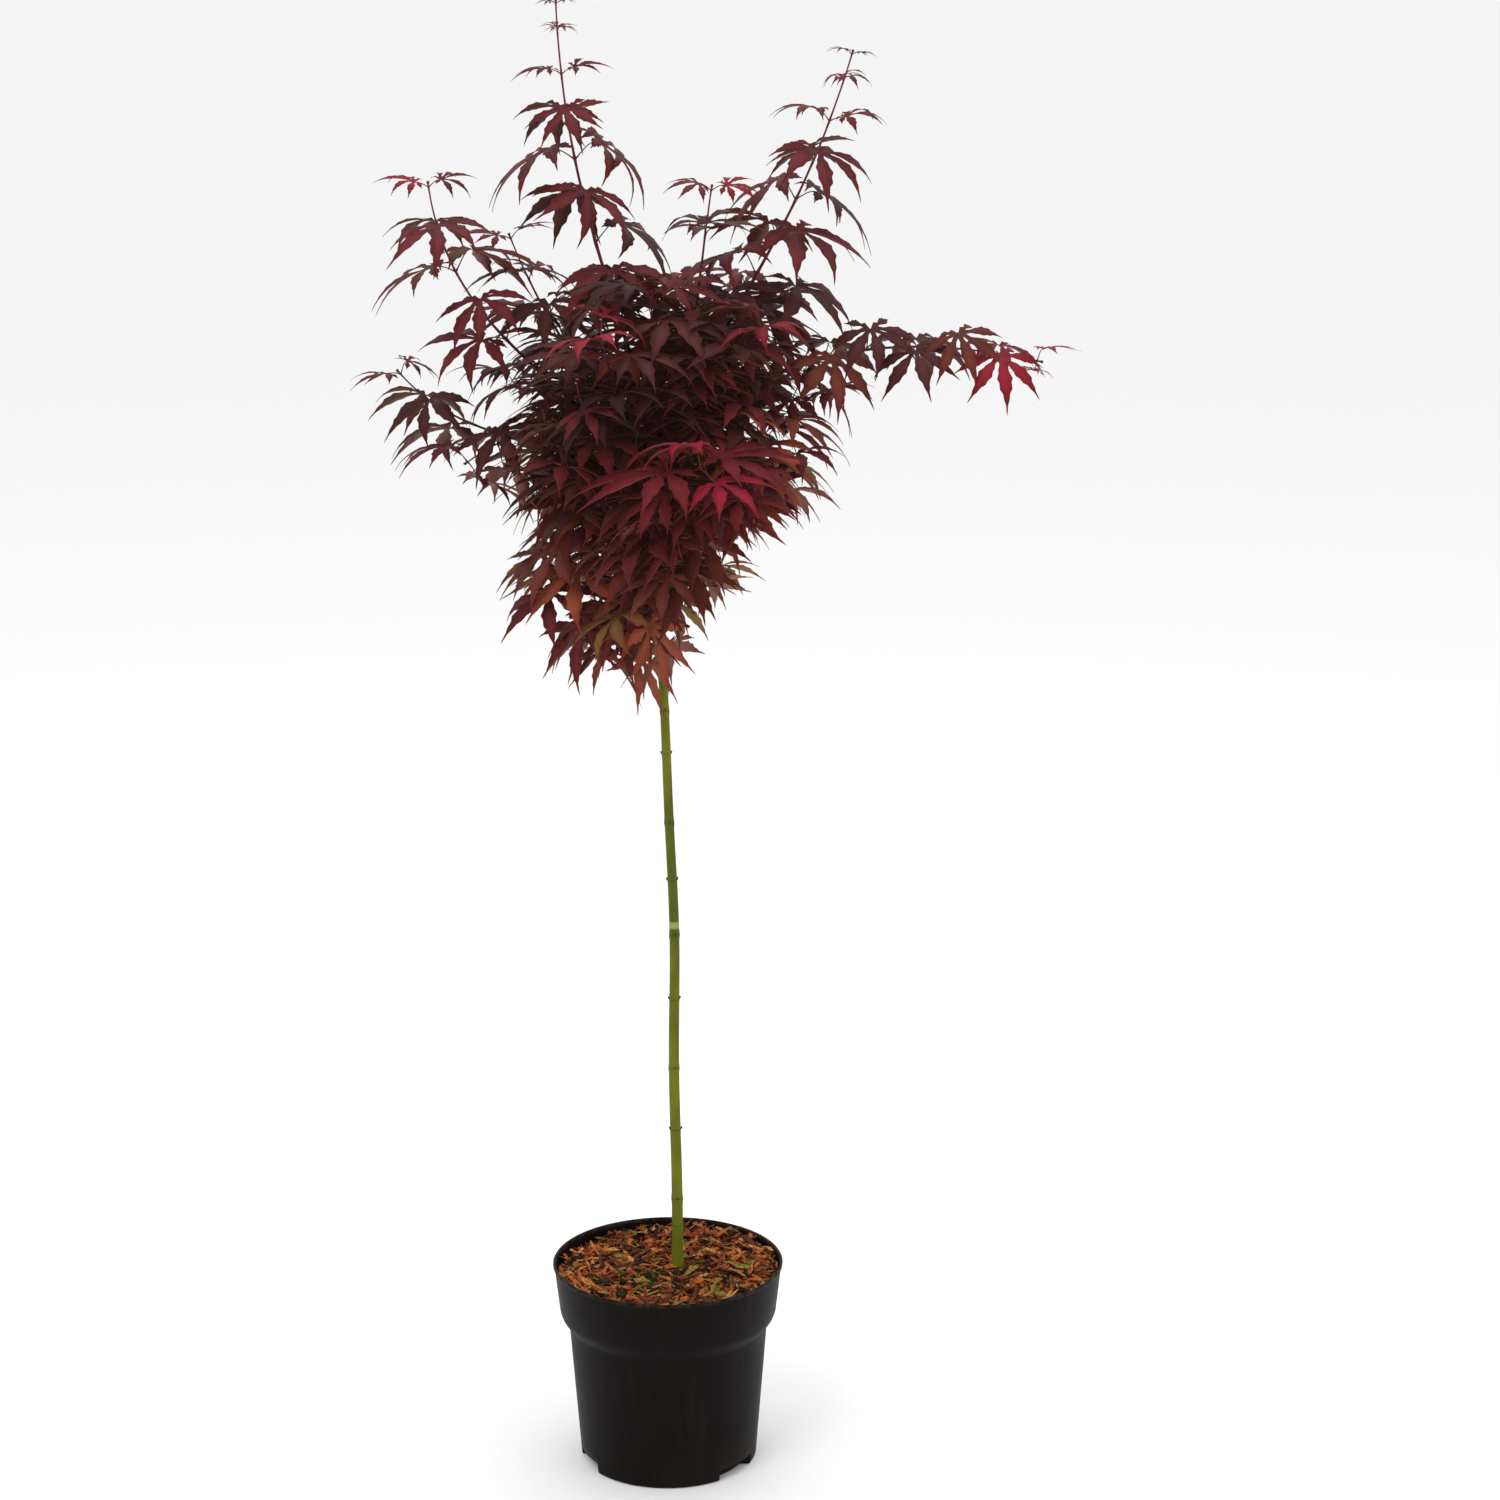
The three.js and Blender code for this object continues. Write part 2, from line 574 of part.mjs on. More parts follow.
// A shoot's leaves, in opposite pairs that each stand across the next pair, and twigs at its lowest pairs
function growShoot(path, growth, twigs, limb, random, surroundings) {
  const length = path.getLength();
  const first = 360 * random();
  const distances = nodeDistances(length, growth);
  distances.forEach((distance, k) => {
    const share = 1 - distance / length;
    const along = path.getTangentAt(share).normalize();
    const reference = Math.abs(along.z) > NEARLY_UPRIGHT ? new THREE.Vector3(1, 0, 0) : UP;
    const sideways = new THREE.Vector3().crossVectors(reference, along).normalize();
    const place = { node: path.getPointAt(share), along, sideways };
    for (const half of [0, 180]) {
      const bearing = first + 90 * k + half + BEARING_SPREAD * (random() - 0.5);
      const scale = (growth.scales[k] ?? 1) * THREE.MathUtils.lerp(...LEAF_LENGTH_RANGE, random());
      if (half === 0 && distances.length - k <= twigs) {
        growTwig(place, bearing + 90, limb, random, surroundings);
      }
      growLeaf(place, bearing, LEAF_LENGTH * scale, limb, random, surroundings);
    }
  });
}

// The leafy stretch of a limb beyond its bough, a clearance away from the bough's tip
function shootStem(limb, path) {
  const from = byStorey(limb, BARE_SHARE_LOW, BARE_SHARE_HIGH) + CLEARANCE / path.getLength();
  const stretch = new Stretch(path, from, 1);
  const radiusAt = (share) => THREE.MathUtils.lerp(SHOOT_ROOT_RADIUS, SHOOT_TIP_RADIUS, share);
  const steps = Math.max(2, Math.round(((1 - from) * path.getLength()) / SHOOT_STEP));
  return { stretch, solid: solidOf(taperedTube(stretch, radiusAt, 3, steps)) };
}

// One mass of foliage: a shoot with its twigs and leaves fused into one solid
function growFoliage(limb, seed, stem, others) {
  const surroundings = { blades: [], grown: [], others };
  const spare = stem.stretch.getLength() - TWIG_FREE_LENGTH;
  const twigs = THREE.MathUtils.clamp(Math.ceil(spare / LENGTH_PER_TWIG), 0, 2);
  growShoot(stem.stretch, GROWTH[limb.growth], twigs, limb, randomStream(seed), surroundings);
  const mass = largestBody(wasm.Manifold.union([stem.solid, ...surroundings.grown])).simplify(TINY);
  return { mass, grown: surroundings.grown };
}

function makePlant() {
  const plant = new THREE.Group();
  const trunk = trunkSolid(0);
  const bore = trunkBore();
  plant.add(meshOf("trunk", geometryOf(trunk), STEM_COLOUR, 0.6));
  const paths = LIMBS.map(limbPath);
  const boughs = LIMBS.map((limb, i) => makeBough(limb, paths[i], bore));
  boughs.forEach((bough, i) => {
    plant.add(meshOf("bough_" + LIMBS[i].name, geometryOf(bough), BARK_COLOUR, 0.7));
  });
  const stems = LIMBS.map((limb, i) => shootStem(limb, paths[i]));
  const standing = [];
  LIMBS.forEach((limb, i) => {
    const otherStems = stems.filter((_, k) => k !== i).map((stem) => stem.solid);
    const others = [trunk, ...boughs, ...otherStems, ...standing];
    const { mass, grown } = growFoliage(limb, FIRST_SEED + i, stems[i], others);
    const colour = LEAF_COLOURS[i % LEAF_COLOURS.length];
    plant.add(meshOf("foliage_" + limb.name, geometryOf(mass), colour, 0.6));
    standing.push(...grown);
  });
  return plant;
}

const tree = new THREE.Group();
tree.add(makePot(), makePottingMix(), makePlant());

export default tree;
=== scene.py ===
"""A potted Japanese maple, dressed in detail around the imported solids.

A slim green stem stands in a round nursery pot, in shredded bark, and carries an open crown of purple-red
leaves. The crown grows by the same rule and limb table as the solids, carried on to finer twigs and leaves.
Lengths are in metres, +Z is up, and the origin is the centre of the pot's flat underside.
"""

import logging
import math
from dataclasses import dataclass, field
from enum import Enum
from typing import Callable, Sequence

import bmesh
import bpy
from mathutils import Color, Matrix, Vector, noise
from mathutils.bvhtree import BVHTree
from mathutils.geometry import interpolate_bezier

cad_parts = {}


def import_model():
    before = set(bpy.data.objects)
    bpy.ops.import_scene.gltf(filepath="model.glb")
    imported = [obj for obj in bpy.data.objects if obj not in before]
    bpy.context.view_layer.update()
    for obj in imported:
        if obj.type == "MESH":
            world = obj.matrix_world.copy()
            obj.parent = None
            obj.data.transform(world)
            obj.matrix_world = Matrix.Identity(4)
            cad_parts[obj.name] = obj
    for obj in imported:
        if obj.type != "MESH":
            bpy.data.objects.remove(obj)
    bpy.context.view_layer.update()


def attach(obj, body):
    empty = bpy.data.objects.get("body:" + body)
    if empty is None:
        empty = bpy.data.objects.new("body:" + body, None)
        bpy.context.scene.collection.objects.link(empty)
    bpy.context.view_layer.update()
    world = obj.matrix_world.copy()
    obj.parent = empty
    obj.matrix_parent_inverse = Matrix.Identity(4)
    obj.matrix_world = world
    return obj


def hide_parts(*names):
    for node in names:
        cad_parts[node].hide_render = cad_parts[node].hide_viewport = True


logger = logging.getLogger("maple")

MM = 0.001
UP = Vector((0.0, 0.0, 1.0))
STEEP = 0.9
BODY = "root"


# Small helpers


class RandomStream:
    """A repeatable stream of numbers from 0 to 1."""

    FACTOR = 1664525
    STEP = 1013904223
    SPAN = 4294967296
    SIDE_SEEDS = 99991

    def __init__(self, seed: int) -> None:
        """Starts the stream.

        Args:
            seed: the number that the whole stream follows from.
        """
        self.state = seed

    def draw(self) -> float:
        """Returns the next number, from 0 to 1."""
        self.state = (self.state * self.FACTOR + self.STEP) % self.SPAN
        return self.state / self.SPAN

    def between(self, low: float, high: float) -> float:
        """Returns the next number, from low to high."""
        return low + (high - low) * self.draw()

    def pick(self, choices: Sequence) -> object:
        """Returns one of the choices."""
        return choices[min(int(self.draw() * len(choices)), len(choices) - 1)]

    def side_stream(self) -> "RandomStream":
        """Returns a stream that follows from this one's state and doesn't move it on."""
        return RandomStream(self.state % self.SIDE_SEEDS)


def lerp(low: float, high: float, share: float) -> float:
    """Returns the value at a share of the way from low to high."""
    return low + (high - low) * share


def bell(distance: float, reach: float) -> float:
    """Returns a smooth bump: 1 at no distance, and almost 0 at twice the reach."""
    return math.exp(-((distance / reach) ** 2))


def linear(red: int, green: int, blue: int) -> tuple[float, float, float, float]:
    """Returns a screen colour as a shader takes it.

    Args:
        red: its red, from 0 to 255.
        green: its green.
        blue: its blue.

    Returns:
        The colour in linear light, with an opaque alpha.
    """
    colour = Color((red / 255, green / 255, blue / 255)).from_srgb_to_scene_linear()
    return (colour.r, colour.g, colour.b, 1.0)


class Path:
    """A smooth line in space, read by its share of the length."""

    POINTS_PER_KNOT = 17
    TANGENT_REACH = 0.004

    def __init__(self, points: Sequence[Vector]) -> None:
        """Measures the line.

        Args:
            points: close points along the line, in order.
        """
        self.points = list(points)
        self.distances = [0.0]
        for before, after in zip(self.points, self.points[1:]):
            self.distances.append(self.distances[-1] + (after - before).length)
        self.length = self.distances[-1]

    @classmethod
    def through(cls, knots: Sequence[Vector]) -> "Path":
        """Lays a smooth line through a few knots.

        Args:
            knots: the knots, in order.

        Returns:
            The line as a path.
        """
        points = [knots[0]]
        for i in range(len(knots) - 1):
            before, start, end = knots[max(i - 1, 0)], knots[i], knots[i + 1]
            after = knots[min(i + 2, len(knots) - 1)]
            leaving = start + (end - before) / 6
            arriving = end - (after - start) / 6
            points += interpolate_bezier(start, leaving, arriving, end, cls.POINTS_PER_KNOT)[1:]
        return cls(points)

    def at(self, share: float) -> Vector:
        """Finds the point at a share of the length.

        Args:
            share: the share, from 0 to 1; one outside that counts as the nearer end.

        Returns:
            The point.
        """
        wanted = min(max(share, 0.0), 1.0) * self.length
        low, high = 0, len(self.distances) - 1
        while high - low > 1:
            middle = (low + high) // 2
            low, high = (middle, high) if self.distances[middle] <= wanted else (low, middle)
        span = self.distances[high] - self.distances[low]
        return self.points[low].lerp(self.points[high], (wanted - self.distances[low]) / span)

    def tangent(self, share: float) -> Vector:
        """Returns the direction of the line at a share of the length."""
        return (self.at(share + self.TANGENT_REACH) - self.at(share - self.TANGENT_REACH)).normalized()


def as_mesh(shape: bmesh.types.BMesh, name: str) -> bpy.types.Mesh:
    """Turns a mesh under construction into a finished one, and lets go of it.

    Args:
        shape: the mesh under construction.
        name: the finished mesh's name.

    Returns:
        The finished mesh.
    """
    mesh = bpy.data.meshes.new(name)
    shape.to_mesh(mesh)
    shape.free()
    return mesh


def join(shape: bmesh.types.BMesh, mesh: bpy.types.Mesh, place: Matrix | None = None) -> None:
    """Joins a mesh to one under construction and removes it.

    Args:
        shape: the mesh under construction.
        mesh: the mesh that is joined and removed.
        place: where it is put, unless it is in place already.
    """
    if place is not None:
        mesh.transform(place)
    shape.from_mesh(mesh, face_normals=False, vertex_normals=False)
    bpy.data.meshes.remove(mesh)


def add_tube(
    target: bmesh.types.BMesh,
    path: Path,
    radius_at: Callable[[float, float], float],
    sides: int,
    steps: int,
) -> None:
    """Adds a closed round limb along a path: a grid that is rolled up and drawn to a point at both ends.

    Args:
        target: the mesh it is added to.
        path: the line it follows.
        radius_at: gives its radius from its share of the length and its turn in radians.
        sides: how many sides it has.
        steps: how many steps it has along its length.
    """
    rows = steps + 2
    shape = bmesh.new()
    verts = bmesh.ops.create_grid(shape, x_segments=sides, y_segments=rows, size=0.5)["verts"]
    centres, frames = [], []
    side = None
    for step in range(steps + 1):
        share = step / steps
        along = path.tangent(share)
        if side is None:
            side = (Vector((1.0, 0.0, 0.0)) if abs(along.z) > STEEP else UP).cross(along)
        side = (side - along * side.dot(along)).normalized()
        centres.append(path.at(share))
        frames.append((side.copy(), along.cross(side)))
    ends = []
    for vert in verts:
        row = round((vert.co.y + 0.5) * rows)
        turn = (vert.co.x + 0.5) * math.tau
        if row == 0 or row == rows or abs(abs(vert.co.x) - 0.5) < 1e-4:
            ends.append(vert)
        step = min(max(row - 1, 0), steps)
        radius = 0.0 if row == 0 or row == rows else radius_at(step / steps, turn)
        across, over = frames[step]
        vert.co = centres[step] + across * (radius * math.cos(turn)) + over * (radius * math.sin(turn))
    bmesh.ops.remove_doubles(shape, verts=ends, dist=1e-7)
    join(target, as_mesh(shape, "tube"))


def spun(outline: Sequence[tuple[float, float]], sides: int) -> bmesh.types.BMesh:
    """Spins a section once round the pot's axis.

    Args:
        outline: the radius and height of each of the section's points, in order.
        sides: how many steps it is spun in.

    Returns:
        The mesh under construction.
    """
    shape = bmesh.new()
    section = [shape.verts.new((radius, 0.0, height)) for radius, height in outline]
    edges = [shape.edges.new(pair) for pair in zip(section, section[1:])]
    bmesh.ops.spin(
        shape,
        geom=section + edges,
        cent=(0.0, 0.0, 0.0),
        axis=UP,
        angle=math.tau,
        steps=sides,
        use_merge=True,
    )
    return shape


def bud_mesh(turns: int) -> bpy.types.Mesh:
    """Makes a round bud of unit size.

    Args:
        turns: how many faces it has round its waist.

    Returns:
        The bud's mesh.
    """
    shape = bmesh.new()
    bmesh.ops.create_uvsphere(shape, u_segments=turns, v_segments=turns - 2, radius=1.0)
    return as_mesh(shape, "bud")


def finished(
    name: str, shape: bmesh.types.BMesh, finishes: Sequence[bpy.types.Material]
) -> bpy.types.Object:
    """Turns a mesh under construction into a piece that rides with the plant.

    Args:
        name: the piece's name.
        shape: the mesh, which is used up.
        finishes: its materials, in the order of its faces' material numbers.

    Returns:
        The piece, shaded smooth.
    """
    mesh = as_mesh(shape, name)
    for finish in finishes:
        mesh.materials.append(finish)
    mesh.shade_smooth()
    piece = bpy.data.objects.new(name, mesh)
    bpy.context.scene.collection.objects.link(piece)
    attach(piece, BODY)
    return piece


def tinted_copy(mesh: bpy.types.Mesh, first: int) -> bpy.types.Mesh:
    """Copies a mesh, with its material numbers counted on from a first one.

    Args:
        mesh: the mesh.
        first: the material number that stands for its number 0.

    Returns:
        The copy.
    """
    copy = mesh.copy()
    numbers = [first + polygon.material_index for polygon in mesh.polygons]
    copy.polygons.foreach_set("material_index", numbers)
    return copy


# Shader nodes


class Wire:
    """A shader socket that can stand in a sum, so that shader maths reads as maths."""

    def __init__(self, graph: "Graph", socket: bpy.types.NodeSocket) -> None:
        """Wraps one output socket.

        Args:
            graph: the material it belongs to.
            socket: the socket.
        """
        self.graph = graph
        self.socket = socket

    def maths(self, operation: str, *values: "Wire | float") -> "Wire":
        """Returns a Math node's result on this socket and other values."""
        return self.graph.node("ShaderNodeMath", {"operation": operation}, self, *values)

    def __add__(self, other: "Wire | float") -> "Wire":
        """Adds a value."""
        return self.maths("ADD", other)

    def __mul__(self, other: "Wire | float") -> "Wire":
        """Multiplies by a value."""
        return self.maths("MULTIPLY", other)

    def __sub__(self, other: "Wire | float") -> "Wire":
        """Takes a value away."""
        return self.maths("SUBTRACT", other)

    def __rsub__(self, other: float) -> "Wire":
        """Takes this away from a number."""
        return self.graph.node("ShaderNodeMath", {"operation": "SUBTRACT"}, other, self)

    __radd__ = __add__
    __rmul__ = __mul__

    def smooth_step(self, low: float, high: float) -> "Wire":
        """Returns a soft mask: 0 below low and 1 above high."""
        settings = {"interpolation_type": "SMOOTHSTEP"}
        return self.graph.node("ShaderNodeMapRange", settings, self, low, high, 0.0, 1.0)


class Graph:
    """One material under construction."""

    def __init__(self, name: str) -> None:
        """Starts a material with an empty node tree.

        Args:
            name: the material's name.
        """
        self.material = bpy.data.materials.new(name)
        self.material.use_nodes = True
        self.tree = self.material.node_tree
        self.tree.nodes.clear()

    def node(
        self, kind: str, settings: dict[str, object], *values: object, output: int | str = 0, **named: object
    ) -> Wire:
        """Makes any node and fills its sockets.

        Args:
            kind: the node's type.
            settings: its settings, such as a Math node's operation, which are set first.
            values: the values or wires of its first sockets, in order.
            output: the output to return.
            named: the values or wires of sockets by their names, with _ for a space.

        Returns:
            The chosen output as a wire.
        """
        made = self.tree.nodes.new(kind)
        for key, value in settings.items():
            setattr(made, key, value)
        sockets = list(zip([s for s in made.inputs if s.enabled], values))
        sockets += [(made.inputs[key.replace("_", " ")], value) for key, value in named.items()]
        for socket, value in sockets:
            if isinstance(value, Wire):
                self.tree.links.new(value.socket, socket)
            elif value is not None:
                socket.default_value = value
        enabled = [s for s in made.outputs if s.enabled]
        return Wire(self, made.outputs[output] if isinstance(output, str) else enabled[output])

    def place(self, stretch: Sequence[float] = (1.0, 1.0, 1.0)) -> Wire:
        """Returns the place on the piece, in metres, stretched along each axis."""
        place = self.node("ShaderNodeTexCoord", {}, output="Object")
        return self.node("ShaderNodeMapping", {}, place, None, None, stretch)

    def speckle(self, scale: float, detail: float = 3.0, stretch: Sequence[float] = (1.0, 1.0, 1.0)) -> Wire:
        """Returns soft noise, about 0.5 on average."""
        return self.node("ShaderNodeTexNoise", {}, self.place(stretch), Scale=scale, Detail=detail)

    def height(self) -> Wire:
        """Returns the height above the ground in metres."""
        return self.node("ShaderNodeSeparateXYZ", {}, self.place(), output="Z")

    def blend(self, share: Wire | float, first: object, second: object) -> Wire:
        """Returns a mix of two colours."""
        return self.node("ShaderNodeMix", {"data_type": "RGBA"}, share, first, second)

    def relief(self, height: Wire, depth: float, strength: float = 1.0) -> Wire:
        """Returns the normal of a bumpy surface, whose bumps are depth metres high."""
        return self.node("ShaderNodeBump", {}, Height=height, Distance=depth, Strength=strength)

    def surface(self, **sockets: object) -> bpy.types.Material:
        """Closes the material with a Principled shader.

        Args:
            sockets: the values or wires of the shader's sockets, by their names with _ for a space.

        Returns:
            The material.
        """
        shader = self.node("ShaderNodeBsdfPrincipled", {}, output="BSDF", **sockets)
        target = self.tree.nodes.new("ShaderNodeOutputMaterial")
        self.tree.links.new(shader.socket, target.inputs["Surface"])
        return self.material


# Finishes


@dataclass(frozen=True)
class PotPlastic:
    """Near-black moulded plastic, warm and a little dusty, and paler along its rim, partly with scuffs and
    partly as a painted highlight.
    """

    colour: tuple[int, int, int] = (10, 6, 5)
    # A pale dust colour, also used for the painted highlight along the rim.
    dust_and_sheen: tuple[int, int, int] = (60, 46, 36)
    cloud_scale: float = 9.0
    grain_scale: float = 420.0
    streak_scale: float = 60.0
    streak_stretch: tuple[float, float, float] = (1.0, 1.0, 0.12)
    scuff_scale: float = 150.0
    rim_scuffs_and_sheen: tuple[float, float] = (0.2095, 0.2158)
    dusty_foot: float = 0.05
    dust_shares: tuple[float, float, float] = (0.6, 0.2, 0.1)
    relief: float = 0.00012
    gloss: float = 0.08

    def make(self) -> bpy.types.Material:
        """Makes the material.

        Returns:
            The material.
        """
        graph = Graph("pot_plastic")
        cloud = graph.speckle(self.cloud_scale, 4.0)
        fine = graph.speckle(self.grain_scale, 2.0)
        streaks = graph.speckle(self.streak_scale, 3.0, self.streak_stretch)
        height = graph.height()
        scuffs = graph.speckle(self.scuff_scale, 3.0).smooth_step(0.35, 0.7)
        # The paler band along the rim is partly scuffs and partly a painted highlight.
        rim = height.smooth_step(*self.rim_scuffs_and_sheen) * scuffs
        foot = (1.0 - height.smooth_step(0.0, self.dusty_foot)) * cloud.smooth_step(0.4, 0.75)
        on_rim_scuffs_and_sheen, on_foot, in_streaks = self.dust_shares
        dusty = rim * on_rim_scuffs_and_sheen + foot * on_foot + streaks.smooth_step(0.52, 0.8) * in_streaks
        colour = graph.blend(dusty, linear(*self.colour), linear(*self.dust_and_sheen))
        roughness = 0.4 + cloud * 0.14 + fine * 0.08
        normal = graph.relief(fine * 0.6 + streaks * 0.5, self.relief, 0.6)
        return graph.surface(
            Base_Color=colour, Roughness=roughness, Normal=normal, Specular_IOR_Level=self.gloss
        )


@dataclass(frozen=True)
class StemBark:
    """Smooth young bark: green below the graft and purple-brown above, finely streaked along the stem."""

    pale: tuple[int, int, int] = (104, 108, 8)
    deep: tuple[int, int, int] = (74, 80, 6)
    ring: tuple[int, int, int] = (44, 44, 12)
    scrape: tuple[int, int, int] = (168, 172, 104)
    scion: tuple[int, int, int] = (66, 34, 32)
    brown_above: float = 0.886
    streak_scale: float = 210.0
    streak_stretch: tuple[float, float, float] = (1.0, 1.0, 0.045)
    patch_scale: float = 22.0
    pore_scale: float = 700.0
    half_stretch: tuple[float, float, float] = (1.0, 1.0, 0.5)
    streak_share: float = 0.25
    scrape_share: float = 0.6
    scar_share: float = 0.7
    wander: float = 0.03
    change: tuple[float, float] = (0.03, 0.02)
    relief: float = 0.0002
    gloss: float = 0.18

    def make(self) -> bpy.types.Material:
        """Makes the material.

        Returns:
            The material.
        """
        graph = Graph("stem_bark")
        streaks = graph.speckle(self.streak_scale, 4.0, self.streak_stretch)
        patches = graph.speckle(self.patch_scale, 3.0, self.half_stretch)
        pores = graph.speckle(self.pore_scale, 2.0, self.half_stretch)
        green = graph.blend(patches.smooth_step(0.36, 0.66), linear(*self.deep), linear(*self.pale))
        in_streak = streaks.smooth_step(0.56, 0.78) * self.streak_share
        streaked = graph.blend(in_streak, green, linear(*self.ring))
        scars = graph.node("ShaderNodeAttribute", {"attribute_name": "scar"}, output="Fac")
        scraped = graph.node("ShaderNodeAttribute", {"attribute_name": "scrape"}, output="Fac")
        worn = graph.blend(scraped.smooth_step(0.3, 0.8) * self.scrape_share, streaked, linear(*self.scrape))
        marked = graph.blend(scars.smooth_step(0.15, 0.75) * self.scar_share, worn, linear(*self.ring))
        above = graph.height() + (patches - 0.5) * self.wander
        grafted = above.smooth_step(self.brown_above - self.change[0], self.brown_above + self.change[1])
        colour = graph.blend(grafted, marked, linear(*self.scion))
        normal = graph.relief(streaks + pores * 0.35, self.relief, 0.6)
        roughness = 0.46 + streaks * 0.2
        return graph.surface(
            Base_Color=colour, Roughness=roughness, Normal=normal, Specular_IOR_Level=self.gloss
        )


@dataclass(frozen=True)
class ShootBark:
    """Smooth purple-brown bark of boughs, shoots and twigs, redder towards the young tips."""

    old: tuple[int, int, int] = (62, 34, 34)
    young: tuple[int, int, int] = (104, 26, 38)
    youth_from: tuple[float, float] = (1.0, 1.45)
    blotch_scale: float = 60.0
    pore_scale: float = 900.0
    relief: float = 0.00015
    roughness: float = 0.5
    gloss: float = 0.25

    def make(self) -> bpy.types.Material:
        """Makes the material.

        Returns:
            The material.
        """
        graph = Graph("shoot_bark")
        blotches = graph.speckle(self.blotch_scale, 3.0)
        youth = graph.height().smooth_step(*self.youth_from) * 0.75 + blotches.smooth_step(0.5, 0.8) * 0.3
        colour = graph.blend(youth, linear(*self.old), linear(*self.young))
        normal = graph.relief(graph.speckle(self.pore_scale, 2.0), self.relief, 0.6)
        return graph.surface(
            Base_Color=colour, Roughness=self.roughness, Normal=normal, Specular_IOR_Level=self.gloss
        )


@dataclass(frozen=True)
class StalkSkin:
    """Thin smooth skin of the leaf stalks, crimson to green-brown."""

    crimson: tuple[int, int, int] = (104, 20, 34)
    brown: tuple[int, int, int] = (84, 42, 30)
    patch_scale: float = 26.0
    roughness: float = 0.45
    gloss: float = 0.25

    def make(self) -> bpy.types.Material:
        """Makes the material.

        Returns:
            The material.
        """
        graph = Graph("stalk_skin")
        patches = graph.speckle(self.patch_scale, 2.0).smooth_step(0.4, 0.7)
        colour = graph.blend(patches, linear(*self.crimson), linear(*self.brown))
        return graph.surface(Base_Color=colour, Roughness=self.roughness, Specular_IOR_Level=self.gloss)


@dataclass(frozen=True)
class LeafSkin:
    """One tint of leaf, on its upper face or its paler underside.

    The tint is one plain colour, a little redder towards the lobes' tips. Only fine veins and a slow change
    from place to place play on it. The glow is painted light: a faint even emission that stands in for the
    light that comes through the thin blades, and keeps the heart of the crown from going black.
    """

    name: str
    colour: tuple[int, int, int]
    roughness: float = 0.55
    vein_count: float = 15.0
    vein_slant: float = 2.2
    vein_depth: float = 0.00035
    cloud_scale: float = 24.0
    grain_scale: float = 500.0
    lightening: float = 1.4
    darkening: float = 0.74
    reddening: tuple[float, float, float] = (0.95, 0.42, 0.6)
    tip_share: float = 0.75
    rib_share: float = 0.5
    vein_share: float = 0.18
    gloss: float = 0.1
    # painted glow: a faint emission that is the same under any light
    glow: tuple[float, float, float, float] = (0.0080, 0.0036, 0.0034, 1.0)

    def make(self) -> bpy.types.Material:
        """Makes the material.

        Returns:
            The material.
        """
        graph = Graph(self.name)
        ribs = graph.node("ShaderNodeUVMap", {"uv_map": "lobe"})
        across = graph.node("ShaderNodeSeparateXYZ", {}, ribs, output="X")
        along = graph.node("ShaderNodeSeparateXYZ", {}, ribs, output="Y")
        from_rib = (across - 0.5).maths("ABSOLUTE") * 2.0
        between_veins = (along * self.vein_count - from_rib * self.vein_slant).maths("FRACT")
        side_veins = (between_veins - 0.5).maths("ABSOLUTE").smooth_step(0.36, 0.5)
        rib = 1.0 - from_rib.smooth_step(0.02, 0.16)
        cloud = graph.speckle(self.cloud_scale, 2.0)
        plain = linear(*self.colour)
        lighter = tuple(min(1.0, c * self.lightening + 0.002) for c in plain[:3]) + (1.0,)
        darker = tuple(c * self.darkening for c in plain[:3]) + (1.0,)
        colour = graph.blend(cloud.smooth_step(0.3, 0.7), darker, lighter)
        redder = tuple(c * share for c, share in zip(plain, self.reddening)) + (1.0,)
        tipped = graph.blend(along.smooth_step(0.4, 1.0) * self.tip_share, colour, redder)
        ribbed = graph.blend(rib * self.rib_share + side_veins * self.vein_share, tipped, lighter)
        grain = graph.speckle(self.grain_scale, 2.0) * 0.25
        raised = grain + (1.0 - rib) * 0.8 + (1.0 - side_veins) * 0.35
        relief = graph.relief(raised, self.vein_depth, 0.8)
        return graph.surface(
            Base_Color=ribbed,
            Roughness=self.roughness,
            Normal=relief,
            Specular_IOR_Level=self.gloss,
            Emission_Color=self.glow,
            Emission_Strength=1.0,
        )


@dataclass(frozen=True)
class BarkChip:
    """One tint of shredded bark, fibrous along each chip."""

    name: str
    colour: tuple[int, int, int]
    grain_scale: float = 330.0
    darkening: float = 0.45
    relief: float = 0.0006
    roughness: float = 0.9
    gloss: float = 0.15

    def make(self) -> bpy.types.Material:
        """Makes the material.

        Returns:
            The material.
        """
        graph = Graph(self.name)
        grain = graph.speckle(self.grain_scale, 4.0)
        plain = linear(*self.colour)
        darker = tuple(c * self.darkening for c in plain[:3]) + (1.0,)
        colour = graph.blend(grain.smooth_step(0.3, 0.66), darker, plain)
        normal = graph.relief(grain, self.relief, 0.9)
        return graph.surface(
            Base_Color=colour, Roughness=self.roughness, Normal=normal, Specular_IOR_Level=self.gloss
        )


@dataclass(frozen=True)
class Moss:
    """Soft dark-green moss."""

    deep: tuple[int, int, int] = (14, 20, 8)
    pale: tuple[int, int, int] = (44, 50, 18)
    tuft_scale: float = 380.0
    relief: float = 0.001
    roughness: float = 0.95
    gloss: float = 0.1

    def make(self) -> bpy.types.Material:
        """Makes the material.

        Returns:
            The material.
        """
        graph = Graph("moss")
        tufts = graph.speckle(self.tuft_scale, 3.0)
        colour = graph.blend(tufts.smooth_step(0.3, 0.7), linear(*self.deep), linear(*self.pale))
        normal = graph.relief(tufts, self.relief)
        return graph.surface(
            Base_Color=colour, Roughness=self.roughness, Normal=normal, Specular_IOR_Level=self.gloss
        )


# The pot


